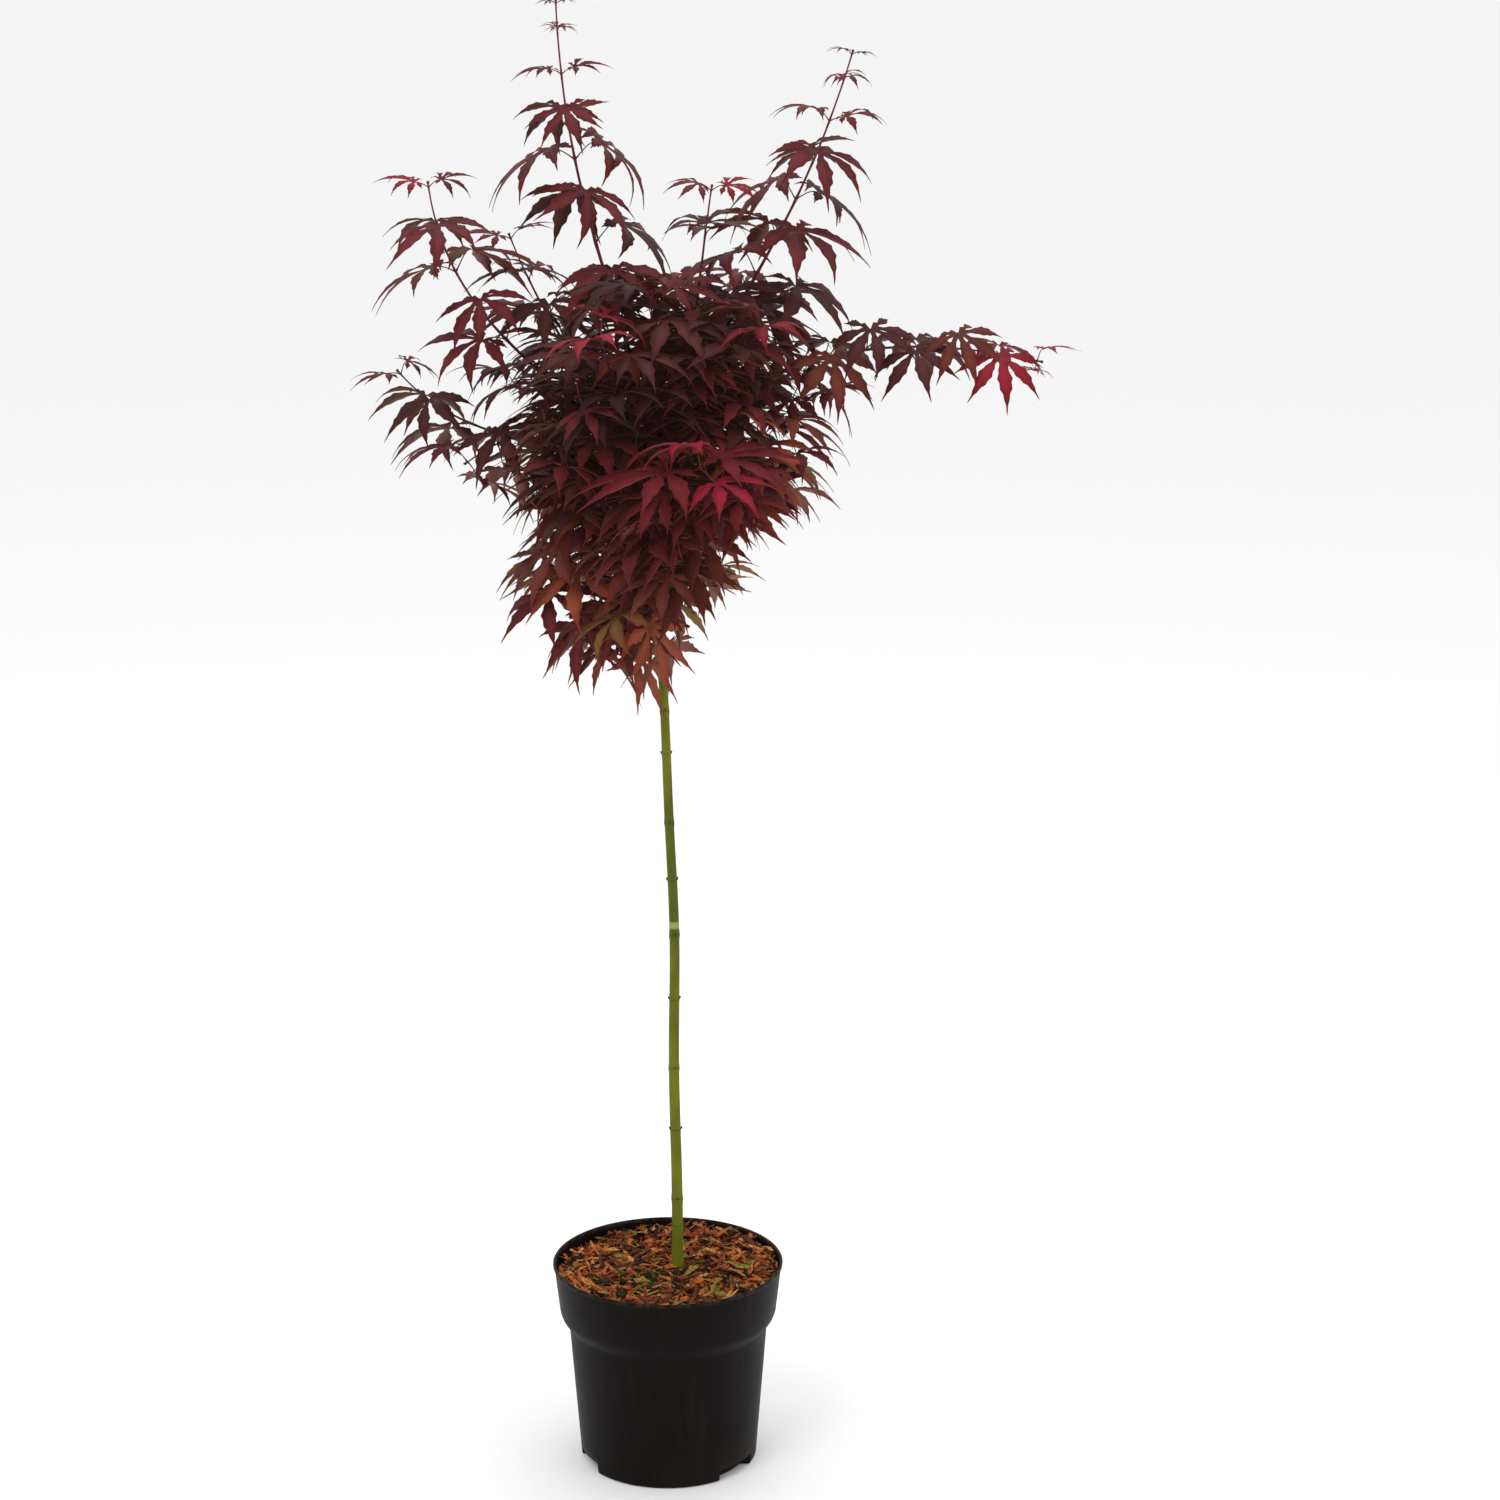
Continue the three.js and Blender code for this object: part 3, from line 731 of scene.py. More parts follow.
@dataclass
class NurseryPot:
    """A round tapered nursery pot.

    It has a deep band under its rolled rim, and notches and drain holes in its foot.
    """

    height: float = 0.216
    rim_radius: float = 0.120
    foot_radius: float = 0.092
    wall: float = 0.002
    band_foot: tuple[float, float] = (0.1129, 0.163)
    shoulder_turn: tuple[float, float] = (0.1108, 0.157)
    shoulder: tuple[float, float] = (0.1038, 0.1495)
    bead_height: float = 0.004
    bead_stands_out: float = 0.0014
    notch_bearings: tuple[float, ...] = (52.0, -68.0, 172.0)
    notch_width: float = 0.045
    notch_height: float = 0.011
    notch_depth: float = 0.009
    notch_inner_edge: float = 0.012
    drain_count: int = 6
    drain_radius: float = 0.005
    drain_circle: float = 0.046
    drain_sides: int = 20
    drill_length: float = 0.012
    floor_under: float = 0.0012
    floor_top: float = 0.0032
    floor_rings: tuple[float, ...] = (0.012, 0.036, 0.060)
    wall_rings: tuple[float, ...] = (0.02, 0.045, 0.075, 0.105, 0.135, 0.147)
    sides: int = 180

    def outline(self) -> list[tuple[float, float]]:
        """Draws the wall's section: up the outside, over the rim and down the inside.

        Returns:
            The radius and height of each point.
        """
        band_top = self.rim_radius - self.bead_stands_out
        bead_foot = self.height - self.bead_height
        bead = [
            (band_top - 0.0001, bead_foot - 0.0012),
            (band_top, bead_foot),
            (self.rim_radius - 0.0002, bead_foot + 0.0006),
            (self.rim_radius, bead_foot + 0.0016),
            (self.rim_radius, self.height - 0.0012),
            (self.rim_radius - 0.0005, self.height - 0.0003),
            (self.rim_radius - 0.0014, self.height),
        ]
        foot = [(radius, self.floor_under) for radius in self.floor_rings]
        foot += [
            (self.foot_radius - 0.010, self.floor_under),
            (self.foot_radius - 0.007, 0.0),
            (self.foot_radius - 0.0022, 0.0),
            (self.foot_radius - 0.0006, 0.0007),
            (self.foot_radius + 0.0002, 0.0024),
        ]
        notch = (0.006, self.notch_height - 0.0004, self.notch_height + 0.0012)
        walls = [self._wall_point(height) for height in notch + self.wall_rings]
        turns = [
            (self.shoulder[0] + 0.0006, self.shoulder[1] + 0.0006),
            (self.shoulder_turn[0] - 0.0012, self.shoulder_turn[1] - 0.0012),
            (self.shoulder_turn[0] + 0.0002, self.shoulder_turn[1] + 0.0012),
            (self.band_foot[0] - 0.0004, self.band_foot[1] - 0.001),
            (self.band_foot[0] + 0.0001, self.band_foot[1] + 0.0006),
            (lerp(self.band_foot[0], band_top, 0.5), lerp(self.band_foot[1], bead_foot, 0.5)),
        ]
        outside = foot + walls + turns + bead
        low_inside = [(radius - self.wall, height) for radius, height in reversed(walls + turns)]
        floor = [(self.foot_radius - 0.006, self.floor_top)]
        floor += [(radius, self.floor_top) for radius in reversed(self.floor_rings)]
        inside = [(band_top - self.wall + 0.0008, self.height - 0.0004), (band_top - self.wall, bead_foot)]
        return outside + inside + low_inside + floor

    def _wall_point(self, height: float) -> tuple[float, float]:
        """Returns the outer wall's (radius, height) at a height below the shoulder."""
        return (lerp(self.foot_radius, self.shoulder[0], height / self.shoulder[1]), height)

    def build(self) -> bpy.types.Object:
        """Builds the pot.

        Returns:
            The pot.
        """
        shape = spun(self.outline(), self.sides)
        bmesh.ops.holes_fill(shape, edges=[edge for edge in shape.edges if edge.is_boundary], sides=0)
        for vert in shape.verts:
            self._press_notch(vert)
        bmesh.ops.recalc_face_normals(shape, faces=shape.faces)
        pot = finished("nursery_pot", shape, [PotPlastic().make()])
        self._drill(pot)
        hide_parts("pot")
        logger.info("pot: %d faces", len(pot.data.polygons))
        return pot

    def _press_notch(self, vert: bmesh.types.BMVert) -> None:
        """Moves a corner of the foot inwards where one of the notches is.

        Args:
            vert: the corner.
        """
        inner_edge = self.foot_radius - self.notch_inner_edge
        if vert.co.z > self.notch_height or vert.co.xy.length < inner_edge:
            return
        bearing = math.degrees(math.atan2(vert.co.y, vert.co.x))
        for middle in self.notch_bearings:
            apart = abs((bearing - middle + 90.0 + 180.0) % 360.0 - 180.0)
            if math.radians(apart) * self.foot_radius < self.notch_width / 2:
                vert.co.xy *= 1 - self.notch_depth / vert.co.xy.length

    def _drill(self, pot: bpy.types.Object) -> None:
        """Cuts the drain holes through the pot's floor.

        Args:
            pot: the pot, whose mesh is changed.
        """
        shape = bmesh.new()
        for i in range(self.drain_count):
            angle = math.tau * i / self.drain_count
            centre = Vector((math.cos(angle), math.sin(angle), 0.0)) * self.drain_circle
            bmesh.ops.create_cone(
                shape,
                cap_ends=True,
                segments=self.drain_sides,
                radius1=self.drain_radius,
                radius2=self.drain_radius,
                depth=self.drill_length,
                matrix=Matrix.Translation(centre),
            )
        drills = bpy.data.objects.new("drills", as_mesh(shape, "drills"))
        bpy.context.scene.collection.objects.link(drills)
        cut = pot.modifiers.new("drain_holes", "BOOLEAN")
        cut.operation = "DIFFERENCE"
        cut.solver = "EXACT"
        cut.object = drills
        evaluated = pot.evaluated_get(bpy.context.evaluated_depsgraph_get())
        drilled = bpy.data.meshes.new_from_object(evaluated)
        pot.modifiers.clear()
        pot.data = drilled
        bpy.data.objects.remove(drills)


# The mulch


class ChipTint(Enum):
    """The tints of the shredded bark, with how often each turns up."""

    ORANGE = ((172, 94, 44), 6)
    TAN = ((192, 134, 74), 3)
    RUSSET = ((132, 62, 34), 5)
    BROWN = ((86, 48, 30), 4)
    UMBER = ((34, 21, 15), 4)
    STRAW = ((132, 114, 48), 2)


@dataclass
class MulchBed:
    """Shredded bark on the potting mix: a dark uneven bed, slivers and fibres on it, and tufts of moss."""

    radius: float = 0.1158
    edge_height: float = 0.2000
    mound: float = 0.0065
    high_bearing: float = 50.0
    coarse_lumps: tuple[float, float] = (30.0, 0.0035)
    fine_lumps: tuple[float, float] = (90.0, 0.0022)
    crown: float = 0.0025
    foot: float = 0.012
    gap: float = 0.0008
    mix_colour: tuple[int, int, int] = (40, 26, 20)
    sliver_count: int = 3300
    sliver_forms: int = 10
    sliver_width: tuple[float, float] = (0.12, 0.3)
    sliver_thickness: tuple[float, float] = (0.05, 0.11)
    sliver_bend: tuple[float, float] = (-0.08, 0.16)
    sliver_narrowing: tuple[float, float] = (0.5, 1.3)
    sliver_fray: float = 0.2
    shortest_sliver: float = 0.006
    sliver_length_spread: float = 0.02
    sliver_length_power: float = 1.6
    sliver_stoutness: tuple[float, float] = (0.6, 1.2)
    sliver_tilt: float = 0.55
    fibre_count: int = 700
    fibre_length: tuple[float, float] = (0.014, 0.034)
    fibre_stoutness: float = 0.22
    fibre_tilt: float = 0.25
    roll: float = 0.7
    pile_height: float = 0.0055
    wall_clearance: float = 0.0006
    moss_count: int = 70
    moss_centre: tuple[float, float] = (-0.010, -0.034)
    moss_spread: tuple[float, float] = (1.2, 0.8)
    moss_nearest: float = 0.008
    moss_reach: float = 0.052
    tuft_width: tuple[float, float] = (0.0025, 0.0055)
    tuft_lift: tuple[float, float] = (0.004, 0.0075)
    tuft_stretch: tuple[float, float] = (0.7, 1.3)
    tuft_flatness: float = 0.5
    tuft_fuzz: float = 0.0011
    tuft_grain: float = 600.0
    rings: int = 26
    sides: int = 96
    seed: int = 77

    def surface(self, x: float, y: float) -> float:
        """Works out how high the bed is at a place.

        Args:
            x: the place to the right of the pot's axis.
            y: the place behind the pot's axis.

        Returns:
            The height.
        """
        out = min(math.hypot(x, y) / self.radius, 1.0)
        bearing = math.atan2(y, x)
        rise = max(0.0, math.cos(bearing - math.radians(self.high_bearing))) * out
        lumps = 0.0
        for layer, (often, height) in zip((0.0, 0.2), (self.coarse_lumps, self.fine_lumps)):
            lumps += noise.noise(Vector((x, y, layer)) * often) * height
        return self.edge_height + self.mound * rise + lumps + self.crown * (1 - out)

    def build(self, pot: NurseryPot) -> None:
        """Builds the bed, its slivers and fibres, and the moss.

        Args:
            pot: the pot it fills.
        """
        self._build_bed(pot)
        self._build_slivers()
        self._build_moss()

    def _build_bed(self, pot: NurseryPot) -> None:
        """Builds the dark mix under the slivers, as a closed shape.

        Args:
            pot: the pot it fills.
        """
        top = [(self.radius * i / self.rings, self.edge_height) for i in range(self.rings + 1)]
        inside = pot.wall + self.gap
        wall = [pot.band_foot, pot.shoulder_turn, pot.shoulder, (pot.foot_radius, self.foot)]
        section = top + [(radius - inside, height) for radius, height in wall] + [(0.0, self.foot)]
        shape = spun(section, self.sides)
        bmesh.ops.remove_doubles(shape, verts=shape.verts, dist=1e-6)
        for vert in shape.verts:
            if vert.co.z > self.edge_height - 1e-5:
                vert.co.z = self.surface(vert.co.x, vert.co.y)
        bmesh.ops.recalc_face_normals(shape, faces=shape.faces)
        bed = finished("potting_bed", shape, [BarkChip("mix_dark", self.mix_colour).make()])
        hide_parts("potting_mix")
        logger.info("potting bed: %d faces", len(bed.data.polygons))

    def _sliver_patterns(self, stream: RandomStream) -> list[bpy.types.Mesh]:
        """Makes slivers of unit length, each a block that is worn out of square, bent and frayed.

        Args:
            stream: the random numbers.

        Returns:
            The slivers' meshes.
        """
        patterns = []
        for _ in range(self.sliver_forms):
            shape = bmesh.new()
            bmesh.ops.create_cube(shape, size=1.0)
            long_edges = [edge for edge in shape.edges if abs((edge.verts[0].co - edge.verts[1].co).x) > 0.5]
            bmesh.ops.subdivide_edges(shape, edges=long_edges, cuts=2)
            width = stream.between(*self.sliver_width)
            thickness = stream.between(*self.sliver_thickness)
            bend = stream.between(*self.sliver_bend)
            for vert in shape.verts:
                jitter = Vector([stream.between(-self.sliver_fray, self.sliver_fray) for _ in range(3)])
                narrow = 1.0 - 1.1 * abs(vert.co.x) * stream.between(*self.sliver_narrowing)
                across = (vert.co.y * narrow + jitter.y) * width
                over = (vert.co.z * narrow + jitter.z) * thickness + bend * (1 - 4 * vert.co.x**2)
                vert.co = Vector((vert.co.x + jitter.x * 0.7, across, over))
            bmesh.ops.recalc_face_normals(shape, faces=shape.faces)
            patterns.append(as_mesh(shape, "sliver"))
        return patterns

    def _build_slivers(self) -> None:
        """Scatters the slivers and fibres and joins them into one piece."""
        stream = RandomStream(self.seed)
        patterns = self._sliver_patterns(stream)
        tints = list(ChipTint)
        deal = [i for i, tint in enumerate(tints) for _ in range(tint.value[1])]
        shape = bmesh.new()
        for number in range(self.sliver_count + self.fibre_count):
            fibre = number >= self.sliver_count
            place, size = self._lay_sliver(stream, fibre)
            sliver = tinted_copy(stream.pick(patterns), deal[int(stream.draw() * len(deal))])
            join(shape, sliver, place @ size)
        finishes = [BarkChip("bark_" + tint.name.lower(), tint.value[0]).make() for tint in tints]
        chips = finished("bark_chips", shape, finishes)
        chips.data.shade_flat()
        logger.info("mulch: %d slivers and fibres", self.sliver_count + self.fibre_count)

    def _lay_sliver(self, stream: RandomStream, fibre: bool) -> tuple[Matrix, Matrix]:
        """Lays a sliver with both its ends inside the pot.

        Args:
            stream: the random numbers.
            fibre: whether it is a long thin fibre.

        Returns:
            The matrix of its place, and that of its size.
        """
        while True:
            away = self.radius * math.sqrt(stream.draw())
            bearing = math.tau * stream.draw()
            x, y = away * math.cos(bearing), away * math.sin(bearing)
            if fibre:
                length = stream.between(*self.fibre_length)
                slim = self.fibre_stoutness
                tilt = stream.between(-self.fibre_tilt, self.fibre_tilt)
            else:
                longer = self.sliver_length_spread * stream.draw() ** self.sliver_length_power
                length = self.shortest_sliver + longer
                slim = stream.between(*self.sliver_stoutness)
                tilt = stream.between(-self.sliver_tilt, self.sliver_tilt)
            heading = math.tau * stream.draw()
            half = Vector((math.cos(heading), math.sin(heading))) * (length * 0.55 * math.cos(tilt))
            centre = Vector((x, y))
            if max((centre + half).length, (centre - half).length) < self.radius - self.wall_clearance:
                break
        turn = Matrix.Rotation(heading, 4, "Z") @ Matrix.Rotation(tilt, 4, "Y")
        turn = turn @ Matrix.Rotation(stream.between(-self.roll, self.roll), 4, "X")
        lift = stream.between(0.0, self.pile_height) + abs(math.sin(tilt)) * length * 0.3
        size = Matrix.Diagonal((length, length * slim, length * slim, 1.0))
        return Matrix.Translation((x, y, self.surface(x, y) + lift)) @ turn, size

    def _build_moss(self) -> None:
        """Builds small tufts of moss between the slivers, most of them near the stem."""
        stream = RandomStream(self.seed + 1)
        noise.seed_set(self.seed)
        shape = bmesh.new()
        for _ in range(self.moss_count):
            away = self.moss_nearest + self.moss_reach * stream.draw() ** 1.5
            bearing = math.tau * stream.draw()
            x = self.moss_centre[0] + self.moss_spread[0] * away * math.cos(bearing)
            y = self.moss_centre[1] + self.moss_spread[1] * away * math.sin(bearing)
            wide = stream.between(*self.tuft_width)
            place = Matrix.Translation((x, y, self.surface(x, y) + stream.between(*self.tuft_lift)))
            deep = wide * stream.between(*self.tuft_stretch)
            size = Matrix.Diagonal((wide, deep, wide * self.tuft_flatness, 1.0))
            tuft = bmesh.new()
            verts = bmesh.ops.create_icosphere(tuft, subdivisions=3, radius=1.0, matrix=place @ size)["verts"]
            for vert in verts:
                vert.co += Vector(noise.noise_vector(vert.co * self.tuft_grain)) * self.tuft_fuzz
            join(shape, as_mesh(tuft, "tuft"))
        finished("moss_tufts", shape, [Moss().make()])
        logger.info("moss: %d tufts", self.moss_count)


# The trunk


@dataclass
class Trunk:
    """The slim stem: root flare, rings left by old leaf pairs, small buds, and the swollen graft.

    The course's points are in millimetres.
    """

    foot: float = 0.204
    top: float = 1.080
    course: tuple[tuple[float, float, float], ...] = (
        (10.0, 0.0, 204.0),
        (10.0, 0.0, 300.0),
        (7.5, 2.0, 430.0),
        (8.5, 3.0, 570.0),
        (3.5, 1.0, 700.0),
        (-1.0, -1.0, 830.0),
        (-7.0, 0.0, 925.0),
        (-7.0, 2.0, 1080.0),
    )
    foot_radius: float = 0.0059
    top_radius: float = 0.0043
    tip_radius: float = 0.0032
    flare_radius: float = 0.0076
    flare_height: float = 0.012
    graft_height: float = 0.878
    graft_radius: float = 0.0072
    graft_reach: float = 0.024
    ring_heights: tuple[float, ...] = (
        0.2545,
        0.2846,
        0.360,
        0.427,
        0.501,
        0.570,
        0.628,
        0.689,
        0.761,
        0.806,
        0.846,
    )
    ring_swelling: float = 0.00012
    node_swelling: float = 0.00050
    ring_tilt: float = 0.0006
    first_bud_turn: float = 8.0
    ring_reach: float = 0.0036
    groove: float = 0.0002
    groove_reach: float = 0.0006
    scar_reach: float = 0.0009
    scar_depth: float = 0.75
    knobs: float = 0.0013
    knob_scale: float = 1.7
    bark_stretch: float = 9.0
    ridges: float = 0.00016
    ridge_count: float = 5.0
    ridge_twist: float = 9.0
    unevenness: float = 0.00012
    uneven_scale: float = 2.6
    bud_size: tuple[float, float, float] = (0.0014, 0.0010, 0.0022)
    bud_sides: int = 10
    bud_stands_out: float = 0.0003
    bud_over_ring: float = 0.0014
    bud_lean: float = 0.7
    bud_scar: float = 0.6
    scrape_height: float = 0.581
    scrape_reach: float = 0.0045
    sides: int = 40
    steps: int = 560
    sunk: float = 0.006

    def __post_init__(self) -> None:
        """Lays the stem's course."""
        self.path = Path.through([Vector(point) * MM for point in self.course])

    def at_height(self, height: float) -> Vector:
        """Returns the point on the stem's axis at a height."""
        return self.path.at((height - self.foot) / (self.top - self.foot))

    def radius(self, height: float) -> float:
        """Works out the stem's mean radius, with its root flare and its swollen graft.

        Args:
            height: the height above the ground.

        Returns:
            The radius.
        """
        flare = (self.flare_radius - self.foot_radius) * math.exp((self.foot - height) / self.flare_height)
        graft = (self.graft_radius - self.top_radius) * bell(height - self.graft_height, self.graft_reach)
        if height < self.graft_height:
            share = (height - self.foot) / (self.graft_height - self.foot)
            return lerp(self.foot_radius, self.top_radius, share) + flare + graft
        share = (height - self.graft_height) / (self.top - self.graft_height)
        return lerp(self.top_radius, self.tip_radius, min(share, 1.0)) + graft

    def bud_turn(self, number: int) -> float:
        """Returns the turn about the stem of a ring's bud pair, which crosses the pair below."""
        return math.radians(self.first_bud_turn + 90.0 * number)

    def relief(self, height: float, turn: float) -> float:
        """Works out how far the bark stands out from the stem's mean radius.

        Args:
            height: the height above the ground.
            turn: the turn about the stem, in radians.

        Returns:
            The height of the bark's relief.
        """
        rings = 0.0
        for number, ring in enumerate(self.ring_heights):
            tilt = self.ring_tilt * math.cos(turn + number)
            side = 0.5 + 0.5 * math.cos(2 * (turn - self.bud_turn(number)))
            swelling = self.ring_swelling + self.node_swelling * side**3
            rings += swelling * bell(height - ring - tilt, self.ring_reach)
            rings -= self.groove * bell(height - ring - tilt - self.groove_reach, self.groove_reach)
        round_stem = Vector((math.cos(turn), math.sin(turn), height * self.bark_stretch))
        at_graft = bell(height - self.graft_height, self.graft_reach)
        knobs = noise.noise(round_stem * self.knob_scale) * self.knobs * at_graft
        ridges = self.ridges * math.sin(self.ridge_count * turn + self.ridge_twist * height)
        uneven = self.unevenness * noise.noise(round_stem * self.uneven_scale)
        return rings + knobs + (ridges + uneven)

    def build(self, limbs: Sequence["Limb"], boughs: bmesh.types.BMesh) -> None:
        """Builds the stem, and the boughs and shoots as a piece of their own.

        Args:
            limbs: the limbs whose solid boughs are hidden.
            boughs: the boughs and shoots, as one mesh.
        """
        shape = bmesh.new()

        def radius_at(share: float, turn: float) -> float:
            """Returns the bark's radius at a share of the stem's length and a turn."""
            height = lerp(self.foot, self.top, share)
            return self.radius(height) + self.relief(height, turn)

        add_tube(shape, self.path, radius_at, self.sides, self.steps)
        scar = shape.verts.layers.float.new("scar")
        scrape = shape.verts.layers.float.new("scrape")
        for vert in shape.verts:
            height = vert.co.z - self.groove_reach
            scars = [bell(height - ring, self.scar_reach) for ring in self.ring_heights]
            vert[scar] = self.scar_depth * max(scars)
            front = vert.co.y < self.at_height(vert.co.z).y - 0.001
            vert[scrape] = bell(vert.co.z - self.scrape_height, self.scrape_reach) if front else 0.0
            if vert.co.z < self.foot + 0.0004:
                vert.co.z -= self.sunk
        self._add_buds(shape)
        stem = finished("stem", shape, [StemBark().make()])
        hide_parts("trunk")
        branches = finished("boughs_and_shoots", boughs, [ShootBark().make()])
        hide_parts(*["bough_" + limb.name for limb in limbs])
        logger.info("stem: %d faces", len(stem.data.polygons))
        logger.info("boughs and shoots: %d faces", len(branches.data.polygons))

    def _add_buds(self, shape: bmesh.types.BMesh) -> None:
        """Adds the tiny sleeping buds just over the rings, in opposite pairs that cross from ring to ring.

        Args:
            shape: the stem's mesh.
        """
        pattern = bud_mesh(self.bud_sides)
        scar = pattern.attributes.new("scar", "FLOAT", "POINT")
        scar.data.foreach_set("value", [self.bud_scar] * len(pattern.vertices))
        for number, height in enumerate(self.ring_heights):
            for half in (0.0, math.pi):
                turn = self.bud_turn(number) + half
                out = Vector((math.cos(turn), math.sin(turn), 0.0))
                bark = self.at_height(height) + out * (self.radius(height) + self.bud_stands_out)
                centre = bark + UP * self.bud_over_ring
                way = out.lerp(UP, self.bud_lean).normalized()
                lean = way.to_track_quat("Z", "Y").to_matrix().to_4x4()
                size = Matrix.Diagonal((*self.bud_size, 1.0))
                join(shape, pattern.copy(), Matrix.Translation(centre) @ lean @ size)


# The crown


@dataclass(frozen=True)
class Vigour:
    """How a shoot ends: the distances from its tip to its first leaf pairs, and the scale of those pairs."""

    internodes: tuple[float, ...]
    scales: tuple[float, ...]


class Growth(Enum):
    """The kinds of shoot."""

    SETTLED = Vigour((0.002, 0.032), (0.85, 1.0))
    VIGOROUS = Vigour((0.002, 0.034), (0.74, 1.1, 1.1))
    RESTING = Vigour((0.003, 0.044), (0.5, 0.88))
    GROWING = Vigour((0.002, 0.026), (0.2, 0.34, 0.52, 0.8, 0.98))
    TWIG = Vigour((0.002,), (0.9,))
    FINE_TWIG = Vigour((0.002, 0.026), (0.72, 0.86))


class LeafTint(Enum):
    """The plain tints of the leaves: the upper face, and the paler underside."""

    NIGHT = ((40, 20, 20), (64, 44, 36))
    BURGUNDY = ((60, 24, 25), (86, 54, 44))
    WINE = ((82, 25, 28), (102, 58, 46))
    DUSK = ((92, 24, 29), (106, 55, 46))
    CRIMSON = ((108, 15, 28), (118, 50, 46))
    ROSE = ((118, 12, 32), (124, 48, 48))
    BRONZE = ((88, 38, 28), (106, 68, 46))
    RUST = ((126, 60, 38), (130, 88, 56))
    OLIVE = ((98, 68, 34), (116, 94, 52))
    GREEN = ((112, 94, 36), (126, 114, 58))


class Palette(Enum):
    """The tints of a limb's leaves: at its tip, at the next pair, and further back."""

    FOOT = (
        (LeafTint.RUST, LeafTint.RUST, LeafTint.WINE, LeafTint.OLIVE),
        (LeafTint.RUST, LeafTint.WINE, LeafTint.RUST, LeafTint.BRONZE),
        (LeafTint.BRONZE, LeafTint.OLIVE, LeafTint.RUST, LeafTint.GREEN, LeafTint.WINE),
    )
    SKIRT = (
        (LeafTint.BRONZE, LeafTint.WINE, LeafTint.OLIVE),
        (LeafTint.WINE, LeafTint.RUST, LeafTint.BRONZE),
        (LeafTint.BRONZE, LeafTint.RUST, LeafTint.OLIVE, LeafTint.WINE, LeafTint.BURGUNDY, LeafTint.BRONZE),
    )
    HEART = (
        (LeafTint.BURGUNDY, LeafTint.WINE, LeafTint.NIGHT),
        (LeafTint.NIGHT, LeafTint.BURGUNDY, LeafTint.WINE),
        (LeafTint.NIGHT, LeafTint.BURGUNDY, LeafTint.NIGHT, LeafTint.BRONZE, LeafTint.BURGUNDY),
    )
    # Past the tip the fringe's tints are darker, partly with age and partly as painted shade where these
    # sprays hang backlit.
    FRINGE = (
        (LeafTint.CRIMSON, LeafTint.WINE),
        (LeafTint.WINE, LeafTint.BURGUNDY, LeafTint.BURGUNDY),
        (LeafTint.BURGUNDY, LeafTint.WINE, LeafTint.NIGHT, LeafTint.BURGUNDY, LeafTint.WINE),
    )
    # Past the tip the leaders' tints are darker, partly with age and partly as painted shade where these
    # sprays hang backlit.
    LEADER = (
        (LeafTint.CRIMSON, LeafTint.WINE),
        (LeafTint.WINE, LeafTint.BURGUNDY),
        (LeafTint.BURGUNDY, LeafTint.WINE, LeafTint.WINE),
    )
    BLUSH = (
        (LeafTint.ROSE, LeafTint.CRIMSON),
        (LeafTint.WINE, LeafTint.BURGUNDY),
        (LeafTint.BURGUNDY, LeafTint.NIGHT),
    )
    ROSETTE = (
        (LeafTint.ROSE, LeafTint.ROSE),
        (LeafTint.DUSK, LeafTint.DUSK),
        (LeafTint.DUSK, LeafTint.WINE, LeafTint.BURGUNDY),
    )
    REACHING = (
        (LeafTint.CRIMSON, LeafTint.CRIMSON),
        (LeafTint.CRIMSON, LeafTint.WINE),
        (LeafTint.BRONZE, LeafTint.BURGUNDY, LeafTint.BRONZE, LeafTint.WINE, LeafTint.BURGUNDY),
    )


class Habit(Enum):
    """How a leaf's lobes hang: the least and most rise at its heel and bend towards the tips, in degrees."""

    ARCHED = ((4.0, 18.0), (38.0, 78.0))
    FANNED = ((0.0, 8.0), (10.0, 40.0))


@dataclass(frozen=True)
class Limb:
    """One limb: its fork's height and its tip in millimetres, how it climbs and grows, and how it is leaved.

    The last three say how much more its leaves hang, in degrees, their scale, and the share of its older
    leaves that are shed.
    """

    name: str
    fork: float
    tip: tuple[float, float, float]
    climb: tuple[float, float]
    growth: Growth
    palette: Palette
    hang: float = 0.0
    scale: float = 1.0
    shed: float = 0.0


